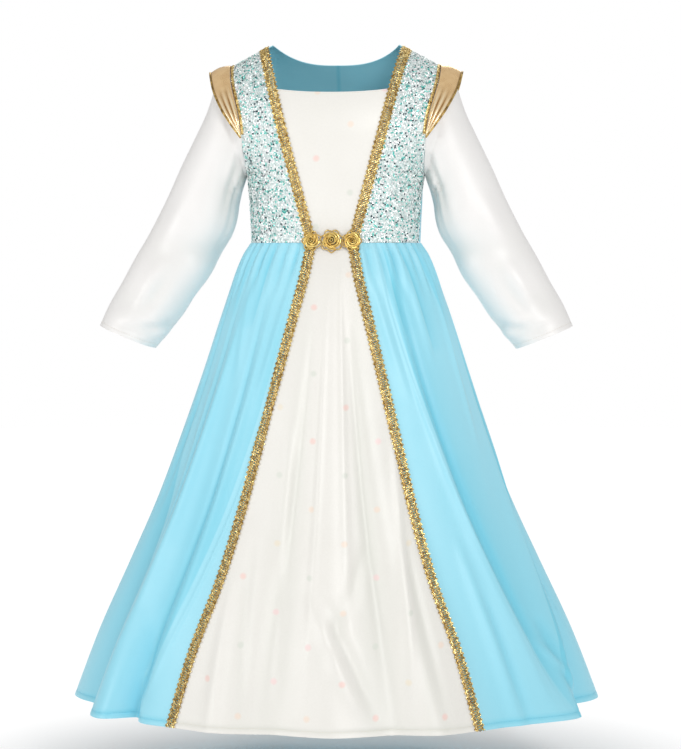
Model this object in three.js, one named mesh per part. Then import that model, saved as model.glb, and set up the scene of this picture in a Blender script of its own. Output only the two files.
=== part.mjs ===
// A child's princess costume dress in its worn, hollow form.
// Millimetres, +Z up. The dress faces -Y, and +X is the wearer's left.
// The origin lies midway between the two points where the shoulder seams meet the neckline.
import * as THREE from 'three';

// Cloth and seams
const CLOTH = 1.6;
const SEAM_GAP = 0.3;

// Heights
const WAIST_Z = -245;
const HEM_Z = -822;
const ARMPIT_Z = -160;
const NECKLINE_Z = -56;
const NECKLINE_SCOOP = 5;

// Bodice
const SHOULDER_RISE = 4.5;
const SHOULDER_FLAT_X = 80;
const SHOULDER_SLOPE = 0.529;
const SHOULDER_ROUND = 110;
const SHOULDER_POWER = 1.8;
const SECTION_POWER = 0.909;
const STRAP_SEAM_X = 90;
const WAIST_SEAM_X = 25.5;
const SIDE_SEAM_DEGREES = 80;
const SIDE_SEAM_TURN_Z = -200;
const BACK_NECK_DEGREES = 28;
const BACK_NECK_DROP = 22;
const ARMHOLE_DEEPEST_Z = -95;
const ARMHOLE_TOP_SHARE = 0.6;
const ARMHOLE_DEEP_SHARE = 0.69;

// Skirt gathers
const GATHER_LENGTH = 85;
const GATHER_DEPTH = 2.4;
const GATHER_FULL_Z = -258;
const SIDE_GATHERS = 9;
const BACK_GATHERS = 16;
const ROUND_SECTION_Z = -330;

// Trims
const BRAID_WIDTH = 14.5;
const BRAID_THICKNESS = 1.5;
const BRAID_LIFT = 0.5;
const FINE_BRAID_WIDTH = 4.5;
const FINE_BRAID_THICKNESS = 1.1;
const FINE_BRAID_LIFT = 0.35;
const CAP_CLOTH = 1.2;
const CAP_LIFT = 0.6;
const CAP_PUFF = 2.5;
const CAP_PLEATS = 3;
const CAP_PLEAT_RISE = 1.3;
const CAP_ROWS = 8;
const CAP_END_Z = -110;
const EDGE_RADIUS = 1.6;
const ROSE_Z = -243;
const ROSE_LIFT = 2.7;
const ROSE_LEAN_DEGREES = 7.5;
const ROSE_TURN_DEGREES = 8;

const DEGREE = Math.PI / 180;
const TINY_ANGLE = 0.002;
const TINY_RISE = 0.05;

// Sections of the bodice. halfWidth is taken as if the section ran on through the arm.
const BODICE_SECTIONS = [
  { z: -245, halfWidth: 107, front: 82, back: 74 },
  { z: -200, halfWidth: 109, front: 84, back: 76 },
  { z: -160, halfWidth: 112, front: 86, back: 80 },
  { z: -147, halfWidth: 120.3, front: 86, back: 81 },
  { z: -125, halfWidth: 137.6, front: 85, back: 82 },
  { z: -95, halfWidth: 152, front: 84, back: 82 },
  { z: 0, halfWidth: 158, front: 84, back: 80 },
];

// Rings of the skirt. seamX is the distance of the braided front seam from the middle.
const SKIRT_RINGS = [
  { z: -822, halfWidth: 327, front: 270, back: 275, seamX: 184 },
  { z: -735, halfWidth: 295, front: 242, back: 245, seamX: 159 },
  { z: -650, halfWidth: 258, front: 212, back: 214, seamX: 127.5 },
  { z: -570, halfWidth: 224, front: 184, back: 186, seamX: 104 },
  { z: -490, halfWidth: 195, front: 159, back: 160, seamX: 84 },
  { z: -410, halfWidth: 168, front: 136, back: 135, seamX: 64 },
  { z: -330, halfWidth: 143, front: 112, back: 110, seamX: 44 },
  { z: -290, halfWidth: 129, front: 99, back: 96, seamX: 34 },
  { z: -262, halfWidth: 117, front: 88, back: 83, seamX: 28.5 },
  { z: -245, halfWidth: 107, front: 82, back: 74, seamX: 25.5 },
];

// Large folds of the skirt. Angles are degrees from the front centre, the wearer's left positive,
// rise is how far the fold stands out at the hem, lean how far it leans over sideways there,
// and from is the height where it begins.
const SKIRT_FOLDS = [
  { atWaist: 27, atHem: 57, halfAngle: 7, rise: 8, lean: 0, from: -250 },
  { atWaist: 95, atHem: 62, halfAngle: 6, rise: 14, lean: 5, from: -300 },
  { atWaist: 108, atHem: 76, halfAngle: 7, rise: -27, lean: -5, from: -300 },
  { atWaist: 118, atHem: 92, halfAngle: 8, rise: 8, lean: 0, from: -300 },
  { atWaist: 14, atHem: 41, halfAngle: 5, rise: -4, lean: 0, from: -300 },
  { atWaist: 8, atHem: 25, halfAngle: 5, rise: 7, lean: 0, from: -330 },
  { atWaist: 7, atHem: 15, halfAngle: 5, rise: -8, lean: 0, from: -260 },
  { atWaist: 1, atHem: 2, halfAngle: 5, rise: 6, lean: 0, from: -260 },
  { atWaist: -5, atHem: -11, halfAngle: 5, rise: -7, lean: 0, from: -260 },
  { atWaist: -8, atHem: -23, halfAngle: 6, rise: 5, lean: 0, from: -330 },
  { atWaist: -30, atHem: -44, halfAngle: 5, rise: 6, lean: 0, from: -330 },
  { atWaist: -42, atHem: -50, halfAngle: 5, rise: -8, lean: 0, from: -300 },
  { atWaist: -52, atHem: -58, halfAngle: 6, rise: 12, lean: 0, from: -300 },
  { atWaist: -66, atHem: -71, halfAngle: 6, rise: -14, lean: 0, from: -300 },
  { atWaist: -84, atHem: -87, halfAngle: 7, rise: 8, lean: 0, from: -300 },
  { atWaist: -54, atHem: -54, halfAngle: 4.5, rise: 16, lean: 11, from: -690 },
  { atWaist: -47.5, atHem: -47.5, halfAngle: 4, rise: -18, lean: -9, from: -690 },
  { atWaist: 128, atHem: 110, halfAngle: 8, rise: -14, lean: 0, from: -300 },
  { atWaist: 134, atHem: 128, halfAngle: 9, rise: 12, lean: 0, from: -280 },
  { atWaist: 146, atHem: 145, halfAngle: 8, rise: -20, lean: 0, from: -300 },
  { atWaist: 160, atHem: 162, halfAngle: 8, rise: 10, lean: 0, from: -270 },
  { atWaist: 176, atHem: 180, halfAngle: 9, rise: -17, lean: 0, from: -300 },
  { atWaist: -160, atHem: -163, halfAngle: 8, rise: 11, lean: 0, from: -280 },
  { atWaist: -142, atHem: -146, halfAngle: 8, rise: -22, lean: 0, from: -300 },
  { atWaist: -124, atHem: -130, halfAngle: 8, rise: 12, lean: 0, from: -270 },
  { atWaist: -104, atHem: -111, halfAngle: 8, rise: -15, lean: 0, from: -310 },
];

// Rings of a sleeve, after the armhole: its outer and inner edge seen from the front, half its depth
// from front to back, and how far its middle lies from the plane of the shoulders.
const SLEEVE_RINGS = [
  { outerX: 151, outerZ: -42, innerX: 114.5, innerZ: -166, halfDepth: 46, middleY: 0 },
  { outerX: 163, outerZ: -79, innerX: 119, innerZ: -180, halfDepth: 47, middleY: 0 },
  { outerX: 177, outerZ: -109, innerX: 122, innerZ: -197, halfDepth: 47, middleY: 0 },
  { outerX: 197, outerZ: -150, innerX: 125, innerZ: -216, halfDepth: 47, middleY: -1 },
  { outerX: 215, outerZ: -190, innerX: 134, innerZ: -245, halfDepth: 46, middleY: -2 },
  { outerX: 236, outerZ: -231, innerX: 148, innerZ: -272, halfDepth: 45, middleY: -4 },
  { outerX: 254, outerZ: -262, innerX: 168, innerZ: -303, halfDepth: 44, middleY: -7 },
  { outerX: 270, outerZ: -292, innerX: 187, innerZ: -328, halfDepth: 42, middleY: -10 },
  { outerX: 286, outerZ: -320, innerX: 208, innerZ: -354, halfDepth: 40, middleY: -13 },
  { outerX: 299, outerZ: -349, innerX: 228, innerZ: -378, halfDepth: 38, middleY: -16 },
];

// Soft folds of a sleeve. ring is the row of the table above that it crosses, around is degrees from the
// outer edge over the front, and rise is how far it stands out.
const SLEEVE_FOLDS = [
  { ring: 2.2, around: 150, rings: 0.9, degrees: 34, rise: -6 },
  { ring: 4.6, around: 165, rings: 0.8, degrees: 40, rise: -7 },
  { ring: 5.4, around: 70, rings: 0.7, degrees: 40, rise: -4 },
  { ring: 6.3, around: 200, rings: 0.7, degrees: 34, rise: -5 },
  { ring: 7.6, around: 60, rings: 0.6, degrees: 36, rise: -4 },
  { ring: 3.4, around: 285, rings: 0.9, degrees: 36, rise: -5 },
  { ring: 6.6, around: 300, rings: 0.8, degrees: 36, rise: -4 },
];

// The free edge of a shoulder cap, from its top over the front to its point
const CAP_EDGE = [
  { x: 159, y: 0, z: -31 },
  { x: 152, y: -29, z: -55 },
  { x: 140, y: -50, z: -79 },
  { x: 128, y: -58, z: -97 },
  { x: 115.4, y: -61.3, z: -114 },
];

// Roses at the waist. The outer two lie on the braids.
const ROSES = [
  { name: 'rose_1', x: -24.6, radius: 11.3, height: 9, under: BRAID_LIFT + BRAID_THICKNESS },
  { name: 'rose_2', x: 0, radius: 13.3, height: 11, under: 0 },
  { name: 'rose_3', x: 24.6, radius: 11.3, height: 9, under: BRAID_LIFT + BRAID_THICKNESS },
];

const FINISHES = {
  blue: { color: '#9ad8ea', roughness: 0.65, metalness: 0 },
  ivory: { color: '#f7f2e8', roughness: 0.4, metalness: 0 },
  sleeve: { color: '#f9f6f0', roughness: 0.45, metalness: 0 },
  sequin: { color: '#bfe0e1', roughness: 0.35, metalness: 0.3 },
  braid: { color: '#c79d45', roughness: 0.4, metalness: 0.7 },
  cap: { color: '#c6a36b', roughness: 0.4, metalness: 0.5 },
  rose: { color: '#d5b05c', roughness: 0.45, metalness: 0.4 },
};

// Small number helpers
function mix(from, to, share) {
  return from + (to - from) * share;
}

function clampShare(value) {
  return Math.min(1, Math.max(0, value));
}

function smoothShare(value, start, end) {
  const share = clampShare((value - start) / (end - start));
  return share * share * (3 - 2 * share);
}

function signedPower(value, power) {
  return Math.sign(value) * Math.abs(value) ** power;
}

// A row of a table at any height, on a smooth curve through the rows; the table rises in z
function rowAt(table, z) {
  const last = table.length - 1;
  let lower = 0;
  while (lower < last - 1 && table[lower + 1].z < z) {
    lower += 1;
  }
  const upper = lower + 1;
  const span = table[upper].z - table[lower].z;
  const share = clampShare((z - table[lower].z) / span);
  const slope = (number, column) => {
    const before = table[Math.max(0, number - 1)];
    const after = table[Math.min(last, number + 1)];
    return (after[column] - before[column]) / (after.z - before.z);
  };
  const row = {};
  for (const column of Object.keys(table[0])) {
    const straight = mix(table[lower][column], table[upper][column], smoothShare(share, 0, 1));
    const leaving = slope(lower, column) * span * share * (1 - share) ** 2;
    const arriving = slope(upper, column) * span * (1 - share) * share ** 2;
    row[column] = straight + leaving - arriving;
  }
  return row;
}

function spread(from, to, steps) {
  return Array.from({ length: steps + 1 }, (unused, step) => mix(from, to, step / steps));
}

// A surface is a function of an angle and a height; this moves a point of it out along its normal
function movedOut(surface, angle, height, distance) {
  const point = surface(angle, height);
  const across = surface(angle + TINY_ANGLE, height).sub(surface(angle - TINY_ANGLE, height));
  const below = surface(angle, height - TINY_RISE);
  const upward = surface(angle, Math.min(0, height + TINY_RISE)).sub(below);
  const normal = across.cross(upward).normalize();
  return point.addScaledVector(normal, distance);
}

// The angle that a length along the cloth takes up at a place on a surface
function angleOf(surface, angle, height, length) {
  const chord = surface(angle + TINY_ANGLE, height).distanceTo(surface(angle - TINY_ANGLE, height));
  return (2 * TINY_ANGLE * length) / chord;
}

// Triangles between two rows of point numbers, which need not have the same count
function joinRows(low, high, faces) {
  const lowLast = low.length - 1;
  const highLast = high.length - 1;
  let i = 0;
  let j = 0;
  while (i < lowLast || j < highLast) {
    const lowIsNext = j === highLast || (i < lowLast && (i + 1) / lowLast <= (j + 1) / highLast);
    if (lowIsNext) {
      faces.push([low[i], low[i + 1], high[j]]);
      i += 1;
    } else {
      faces.push([low[i], high[j + 1], high[j]]);
      j += 1;
    }
  }
}

// One closed mesh from points and triangles, turned so that its faces look out
function closedMesh(name, points, faces, finish) {
  let volume = 0;
  for (const [a, b, c] of faces) {
    volume += points[a].dot(points[b].clone().cross(points[c]));
  }
  const order = volume > 0 ? faces : faces.map(([a, b, c]) => [a, c, b]);
  const geometry = new THREE.BufferGeometry().setFromPoints(points);
  geometry.setIndex(order.flat());
  geometry.computeVertexNormals();
  return namedMesh(name, geometry, finish);
}

function namedMesh(name, geometry, finish) {
  const mesh = new THREE.Mesh(geometry, new THREE.MeshStandardMaterial(FINISHES[finish]));
  mesh.name = name;
  return mesh;
}

// A closed wall of cloth between an outer and an inner skin, each given as rows of points from one end
// to the other. A ring joins the last point of each row to the first.
function clothWall(name, outerRows, innerRows, finish, isRing = false) {
  const points = [];
  const faces = [];
  const numbered = (rows) =>
    rows.map((row) => {
      const numbers = row.map((point) => points.push(point) - 1);
      return isRing ? [...numbers, numbers[0]] : numbers;
    });
  const outer = numbered(outerRows);
  const inner = numbered(innerRows);
  const last = outer.length - 1;
  const innerFaces = [];
  for (let row = 0; row < last; row += 1) {
    joinRows(outer[row], outer[row + 1], faces);
    joinRows(inner[row], inner[row + 1], innerFaces);
  }
  for (const [a, b, c] of innerFaces) {
    faces.push([a, c, b]);
  }
  joinRows(inner[0], outer[0], faces);
  joinRows(outer[last], inner[last], faces);
  if (!isRing) {
    const column = (rows, place) => rows.map((row) => row.at(place));
    joinRows(column(outer, 0), column(inner, 0), faces);
    joinRows(column(inner, -1), column(outer, -1), faces);
  }
  return closedMesh(name, points, faces, finish);
}

function mirrored(rows) {
  return rows.map((row) => row.map((point) => new THREE.Vector3(-point.x, point.y, point.z)));
}

// A panel of a surface: each row has a height, the angles of its two edges and its number of steps
function panelRows(surface, rows, distance) {
  return rows.map((row) => {
    const angles = spread(row.from, row.to, row.steps);
    return angles.map((angle) => movedOut(surface, angle, row.heightAt(angle), distance));
  });
}

// Bodice surface. The angle runs from the front centre round to the back centre.
function shoulderRound(level) {
  const share = clampShare(-level / SHOULDER_ROUND);
  return (1 - (1 - share) ** SHOULDER_POWER) ** (1 / SHOULDER_POWER);
}

function bodicePoint(angle, level) {
  const section = rowAt(BODICE_SECTIONS, level);
  const x = section.halfWidth * signedPower(Math.sin(angle), SECTION_POWER);
  const depth = Math.cos(angle) > 0 ? section.front : section.back;
  const y = -depth * signedPower(Math.cos(angle), SECTION_POWER) * shoulderRound(level);
  const ridge = SHOULDER_RISE - SHOULDER_SLOPE * Math.max(0, Math.abs(x) - SHOULDER_FLAT_X);
  return new THREE.Vector3(x, y, level + ridge * smoothShare(level, -SHOULDER_ROUND, 0));
}

function frontSeamAngle(level) {
  const x = mix(WAIST_SEAM_X, STRAP_SEAM_X, 1 - level / WAIST_Z);
  return Math.asin((x / rowAt(BODICE_SECTIONS, level).halfWidth) ** (1 / SECTION_POWER));
}

function armholeAngle(level) {
  const fall = clampShare((ARMHOLE_DEEPEST_Z - level) / (ARMHOLE_DEEPEST_Z - ARMPIT_Z));
  const deep = smoothShare(level, 0, ARMHOLE_DEEPEST_Z);
  const reach = mix(ARMHOLE_TOP_SHARE, ARMHOLE_DEEP_SHARE, deep) * Math.sqrt(1 - fall * fall);
  return Math.acos(reach ** (1 / SECTION_POWER));
}

function sideSeamAngle(level) {
  return mix(SIDE_SEAM_DEGREES, 90, smoothShare(level, SIDE_SEAM_TURN_Z, ARMPIT_Z)) * DEGREE;
}

// The shoulder seam stops this much short of the ridge, so that front and back don't meet
const RIDGE_LEVEL = -0.001;
const LOWER_LEVELS = [WAIST_Z + SEAM_GAP / 2, -222, -200, -186, -174, -166];
const ARMHOLE_LOW_LEVELS = [ARMPIT_Z, -158.5, -154, -147, -137, -125, -110, ARMHOLE_DEEPEST_Z];
const ARMHOLE_LEVELS = [...ARMHOLE_LOW_LEVELS, -78, -60, -44, -30, -18, -9, -3, RIDGE_LEVEL];
const BODICE_LEVELS = [...LOWER_LEVELS, ...ARMHOLE_LEVELS];

function frontSideRows() {
  return BODICE_LEVELS.map((level) => {
    const seam = frontSeamAngle(level);
    const outer = level < ARMPIT_Z ? sideSeamAngle(level) : armholeAngle(level);
    const gap = angleOf(bodicePoint, seam, level, SEAM_GAP / 2);
    const outerGap = level < ARMPIT_Z ? gap : 0;
    return { from: seam + gap, to: outer - outerGap, steps: 6, heightAt: () => level };
  });
}

// The back neckline dips between the two shoulders
function backTop(angle) {
  const share = clampShare((Math.PI - angle) / (BACK_NECK_DEGREES * DEGREE));
  return mix(-BACK_NECK_DROP, RIDGE_LEVEL, share ** 2.5);
}

function backRows() {
  return BODICE_LEVELS.map((level) => {
    const inner = level < ARMPIT_Z ? sideSeamAngle(level) : Math.PI - armholeAngle(level);
    const innerGap = level <= ARMPIT_Z ? angleOf(bodicePoint, inner, level, SEAM_GAP / 2) : 0;
    const middleShare = SEAM_GAP / 2 / rowAt(BODICE_SECTIONS, level).halfWidth;
    const middleGap = Math.asin(middleShare ** (1 / SECTION_POWER));
    const heightAt = (angle) => mix(WAIST_Z, backTop(angle), 1 - level / WAIST_Z);
    return { from: inner + innerGap, to: Math.PI - middleGap, steps: 9, heightAt };
  });
}

function insertRows() {
  const tops = [WAIST_Z + SEAM_GAP / 2, -222, -200, -180, -160, -140, -120, -100, -85, -70, NECKLINE_Z];
  return tops.map((level) => {
    const seam = frontSeamAngle(level);
    const edge = seam - angleOf(bodicePoint, seam, level, SEAM_GAP / 2);
    const near = (level - WAIST_Z) / (NECKLINE_Z - WAIST_Z);
    const heightAt = (angle) => level - NECKLINE_SCOOP * near ** 4 * (1 - (angle / edge) ** 2);
    return { from: -edge, to: edge, steps: 8, heightAt };
  });
}

function wallPair(surface, rows) {
  return [panelRows(surface, rows, 0), panelRows(surface, rows, -CLOTH)];
}

function makeBodice() {
  const [sideOuter, sideInner] = wallPair(bodicePoint, frontSideRows());
  const [backOuter, backInner] = wallPair(bodicePoint, backRows());
  const [insertOuter, insertInner] = wallPair(bodicePoint, insertRows());
  return [
    clothWall('bodice_insert', insertOuter, insertInner, 'ivory'),
    clothWall('bodice_side_left', sideOuter, sideInner, 'sequin'),
    clothWall('bodice_side_right', mirrored(sideOuter), mirrored(sideInner), 'sequin'),
    clothWall('bodice_back_left', backOuter, backInner, 'blue'),
    clothWall('bodice_back_right', mirrored(backOuter), mirrored(backInner), 'blue'),
  ];
}

// Skirt surface. The angle is signed, from the front centre to the wearer's left and right.
function skirtPower(z) {
  return mix(1, SECTION_POWER, smoothShare(z, ROUND_SECTION_Z, WAIST_Z));
}

function skirtSeamAngle(z) {
  const ring = rowAt(SKIRT_RINGS, z);
  return Math.asin((ring.seamX / ring.halfWidth) ** (1 / skirtPower(z)));
}

function foldsAt(angle, z) {
  let rise = 0;
  let lean = 0;
  for (const fold of SKIRT_FOLDS) {
    const centre = mix(fold.atWaist, fold.atHem, clampShare((WAIST_Z - z) / (WAIST_Z - HEM_Z)));
    const away = Math.abs(angle / DEGREE - centre) % 360;
    const degrees = Math.min(away, 360 - away);
    const growth = clampShare((fold.from - z) / (fold.from - HEM_Z));
    const share = growth * Math.exp(-((degrees / fold.halfAngle) ** 2));
    rise += fold.rise * share;
    lean += fold.lean * share;
  }
  return { rise, lean };
}

function gatherRise(angle, z) {
  const size = Math.min(Math.abs(angle), 2 * Math.PI - Math.abs(angle));
  const seam = skirtSeamAngle(z);
  if (size < seam) {
    return 0;
  }
  const quarter = Math.PI / 2;
  const count =
    size < quarter
      ? (SIDE_GATHERS * (size - seam)) / (quarter - seam)
      : SIDE_GATHERS + (BACK_GATHERS / 2) * (size / quarter - 1);
  const uneven = 0.8 + 0.2 * Math.sin(2.3 * count + Math.sign(Math.sin(angle)));
  const fallen = smoothShare(z, WAIST_Z - GATHER_LENGTH, GATHER_FULL_Z);
  const sewn = mix(1, 0.6, smoothShare(z, GATHER_FULL_Z, WAIST_Z));
  const flattened = smoothShare(count, 0, 0.7);
  return -GATHER_DEPTH * uneven * fallen * sewn * flattened * Math.cos(2 * Math.PI * count);
}

function skirtPoint(angle, z) {
  const ring = rowAt(SKIRT_RINGS, z);
  const power = skirtPower(z);
  const folds = foldsAt(angle, z);
  const leaned = angle + folds.lean / ring.halfWidth;
  const depth = Math.cos(leaned) > 0 ? ring.front : ring.back;
  const x = ring.halfWidth * signedPower(Math.sin(leaned), power);
  const y = -depth * signedPower(Math.cos(leaned), power);
  const reach = Math.hypot(x, y);
  const scale = (reach + folds.rise + gatherRise(angle, z)) / reach;
  return new THREE.Vector3(x * scale, y * scale, z);
}

const GATHERED_HEIGHTS = [WAIST_Z - SEAM_GAP / 2, -257, -272, -291, -316];
const FALLING_HEIGHTS = [-360, -410, -470, -530, -590, -650, -708, -765, HEM_Z];

function skirtRows(edgesAt, gatheredSteps, fallingSteps) {
  const rowsOf = (heights, steps) =>
    heights.map((z) => {
      const [from, to] = edgesAt(z);
      return { from, to, steps, heightAt: () => z };
    });
  return [...rowsOf(GATHERED_HEIGHTS, gatheredSteps), ...rowsOf(FALLING_HEIGHTS, fallingSteps)].reverse();
}

function makeSkirt() {
  const gapAt = (angle, z) => angleOf(skirtPoint, angle, z, SEAM_GAP / 2);
  const quarter = Math.PI / 2;
  const frontEdges = (z) => {
    const seam = skirtSeamAngle(z);
    return [-seam + gapAt(-seam, z), seam - gapAt(seam, z)];
  };
  const sideEdges = (z) => {
    const seam = skirtSeamAngle(z);
    return [seam + gapAt(seam, z), quarter - gapAt(quarter, z)];
  };
  const otherSideEdges = (z) => {
    const seam = skirtSeamAngle(z);
    return [-quarter + gapAt(-quarter, z), -seam - gapAt(-seam, z)];
  };
  const backEdges = (z) => [quarter + gapAt(quarter, z), 3 * quarter - gapAt(-quarter, z)];
  const panels = [
    { name: 'skirt_front', edges: frontEdges, gathered: 14, falling: 14, finish: 'ivory' },
    { name: 'skirt_side_left', edges: sideEdges, gathered: 36, falling: 22, finish: 'blue' },
    { name: 'skirt_side_right', edges: otherSideEdges, gathered: 36, falling: 24, finish: 'blue' },
    { name: 'skirt_back', edges: backEdges, gathered: 64, falling: 34, finish: 'blue' },
  ];
  return panels.map((panel) => {
    const rows = skirtRows(panel.edges, panel.gathered, panel.falling);
    const [outer, inner] = wallPair(skirtPoint, rows);
    return clothWall(panel.name, outer, inner, panel.finish);
  });
}

// A braid lies along a seam, from the points of the surface moved out
function braidWall(name, surface, heights, middleAt, size, finish) {
  const rows = heights.map((z) => {
    const middle = middleAt(z);
    const half = angleOf(surface, middle, z, size.width / 2);
    return { from: middle - half, to: middle + half, steps: 2, heightAt: () => z };
  });
  const outer = panelRows(surface, rows, size.lift + size.thickness);
  const inner = panelRows(surface, rows, size.lift);
  return clothWall(name, outer, inner, finish);
}

const WIDE_BRAID = { width: BRAID_WIDTH, thickness: BRAID_THICKNESS, lift: BRAID_LIFT };

function makeBraids() {
  const bodiceHeights = [WAIST_Z + 1, ...BODICE_LEVELS.slice(1, -1), -1];
  const fallingDown = [...GATHERED_HEIGHTS, ...FALLING_HEIGHTS];
  const skirtHeights = fallingDown.map((z) => Math.min(z, WAIST_Z - 1)).reverse();
  const fromOther = (name, surface, heights, seamAt) => {
    const left = braidWall(`${name}_left`, surface, heights, seamAt, WIDE_BRAID, 'braid');
    const right = braidWall(`${name}_right`, surface, heights, (z) => -seamAt(z), WIDE_BRAID, 'braid');
    return [left, right];
  };
  return [
    ...fromOther('bodice_braid', bodicePoint, bodiceHeights, frontSeamAngle),
    ...fromOther('skirt_braid', skirtPoint, skirtHeights, skirtSeamAngle),
  ];
}

// The armhole edge: from the armpit up the front, over the shoulder and down the back
function armholeRim(levels) {
  const front = levels.map((level) => ({ level, angle: armholeAngle(level) }));
  const back = levels.slice(0, -1).map((level) => ({ level, angle: Math.PI - armholeAngle(level) }));
  return [...front, ...back.reverse()];
}

function makeSleeve(name, side) {
  const rim = armholeRim(ARMHOLE_LEVELS).slice(0, -1);
  const top = bodicePoint(armholeAngle(RIDGE_LEVEL), RIDGE_LEVEL);
  const bottom = bodicePoint(Math.PI / 2, ARMPIT_Z);
  const middle = top.clone().add(bottom).multiplyScalar(0.5);
  const halfHeight = (top.z - bottom.z) / 2;
  const seated = (place, distance) => {
    const point = movedOut(bodicePoint, place.angle, place.level, distance);
    const inward = new THREE.Vector3(0, middle.y - point.y, middle.z - point.z).normalize();
    return point.addScaledVector(inward, SEAM_GAP).add(new THREE.Vector3(SEAM_GAP, 0, 0));
  };
  const arounds = rim.map((place) => {
    const point = bodicePoint(place.angle, place.level);
    const around = Math.acos(Math.max(-1, Math.min(1, (point.z - middle.z) / halfHeight)));
    return place.angle > Math.PI / 2 ? 2 * Math.PI - around : around;
  });
  const foldAt = (ring, around) => {
    let rise = 0;
    for (const fold of SLEEVE_FOLDS) {
      const along = (ring - fold.ring) / fold.rings;
      const across = (around / DEGREE - fold.around) / fold.degrees;
      rise += fold.rise * Math.exp(-along * along - across * across);
    }
    return rise;
  };
  const ringPoints = (ring, number, inset) =>
    arounds.map((around) => {
      const halfLength = Math.hypot(ring.outerX - ring.innerX, ring.outerZ - ring.innerZ) / 2;
      const alongX = (ring.outerX - ring.innerX) / 2 / halfLength;
      const alongZ = (ring.outerZ - ring.innerZ) / 2 / halfLength;
      const fold = foldAt(number, around);
      const reach = (halfLength - inset + fold) * Math.cos(around);
      const x = (ring.outerX + ring.innerX) / 2 + alongX * reach;
      const y = ring.middleY - (ring.halfDepth - inset + fold) * Math.sin(around);
      const z = (ring.outerZ + ring.innerZ) / 2 + alongZ * reach;
      return new THREE.Vector3(x, y, z);
    });
  const outer = [rim.map((place) => seated(place, 0))];
  const inner = [rim.map((place) => seated(place, -CLOTH))];
  SLEEVE_RINGS.forEach((ring, number) => {
    outer.push(ringPoints(ring, number, 0));
    inner.push(ringPoints(ring, number, CLOTH));
  });
  const turned = side > 0 ? (rows) => rows : mirrored;
  return clothWall(name, turned(outer), turned(inner), 'sleeve', true);
}

// A shoulder cap spans from the armhole seam to its free edge, with pleats that run to its points
function capEdgeCurve(outward) {
  const front = CAP_EDGE.map((place) => new THREE.Vector3(place.x, place.y, place.z));
  const back = front.slice(1).map((point) => new THREE.Vector3(point.x, -point.y, point.z));
  const points = [...back.reverse(), ...front].reverse();
  const centre = new THREE.Vector3(CAP_EDGE[0].x - 30, 0, CAP_EDGE[0].z - 50);
  const moved = points.map((point) => {
    const away = point.clone().sub(centre).setY(point.y * 0.6).normalize();
    return point.clone().addScaledVector(away, outward);
  });
  return new THREE.CatmullRomCurve3(moved);
}

function makeCap(name, side) {
  const levels = ARMHOLE_LEVELS.filter((level) => level >= CAP_END_Z);
  const rim = armholeRim(levels);
  const seam = rim.map((place) => {
    const point = movedOut(bodicePoint, place.angle, place.level, CAP_LIFT + CAP_CLOTH);
    return point.add(new THREE.Vector3(SEAM_GAP, 0, 0));
  });
  const lengths = [0];
  for (let place = 1; place < seam.length; place += 1) {
    lengths.push(lengths[place - 1] + seam[place].distanceTo(seam[place - 1]));
  }
  const edge = capEdgeCurve(0);
  const free = lengths.map((length) => edge.getPointAt(length / lengths.at(-1)));
  const armpit = new THREE.Vector3(SLEEVE_RINGS[1].innerX, 0, SLEEVE_RINGS[1].innerZ);
  const capPoint = (share, place, inset) => {
    const next = seam[Math.min(place + 1, seam.length - 1)];
    const previous = seam[Math.max(place - 1, 0)];
    const point = seam[place].clone().lerp(free[place], share);
    const normal = next.clone().sub(previous).cross(free[place].clone().sub(seam[place])).normalize();
    if (normal.dot(point.clone().sub(armpit)) < 0) {
      normal.negate();
    }
    const fromTop = Math.abs(2 * lengths[place] / lengths.at(-1) - 1);
    const inside = smoothShare(share, 0.15, 0.4) * (1 - smoothShare(share, 0.9, 1));
    const pleated = CAP_PLEAT_RISE * smoothShare(fromTop, 0.1, 0.5) * inside;
    const pleat = pleated * Math.cos(2 * Math.PI * CAP_PLEATS * share);
    const puff = CAP_PUFF * Math.sin(Math.PI * share) * (1 - fromTop * fromTop);
    return point.addScaledVector(normal, puff + pleat - inset);
  };
  const rowsAt = (inset) =>
    spread(0, 1, CAP_ROWS).map((share) => seam.map((unused, place) => capPoint(share, place, inset)));
  const turned = side > 0 ? (rows) => rows : mirrored;
  return clothWall(name, turned(rowsAt(0)), turned(rowsAt(CAP_CLOTH)), 'cap');
}

function makeCapEdge(name, side) {
  const curve = capEdgeCurve(EDGE_RADIUS + SEAM_GAP + CAP_CLOTH / 2);
  if (side < 0) {
    curve.points.forEach((point) => point.setX(-point.x));
  }
  const section = new THREE.Shape().absarc(0, 0, EDGE_RADIUS, 0, 2 * Math.PI);
  const options = { steps: 22, curveSegments: 4, bevelEnabled: false, extrudePath: curve };
  return namedMesh(name, new THREE.ExtrudeGeometry(section, options), 'cap');
}

function makeArmholeBraid(name, side) {
  const levels = ARMHOLE_LEVELS.filter((level) => level >= CAP_END_Z);
  const rim = armholeRim(levels);
  const rowsAt = (distance) =>
    [0.4, FINE_BRAID_WIDTH].map((inset) =>
      rim.map((place) => {
        const inward = Math.sign(place.angle - Math.PI / 2);
        const turn = inward * angleOf(bodicePoint, place.angle, place.level, inset);
        return movedOut(bodicePoint, place.angle + turn, place.level, distance);
      }),
    );
  const turned = side > 0 ? (rows) => rows : mirrored;
  const outer = rowsAt(FINE_BRAID_LIFT + FINE_BRAID_THICKNESS);
  return clothWall(name, turned(outer), turned(rowsAt(FINE_BRAID_LIFT)), 'braid');
}

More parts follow.
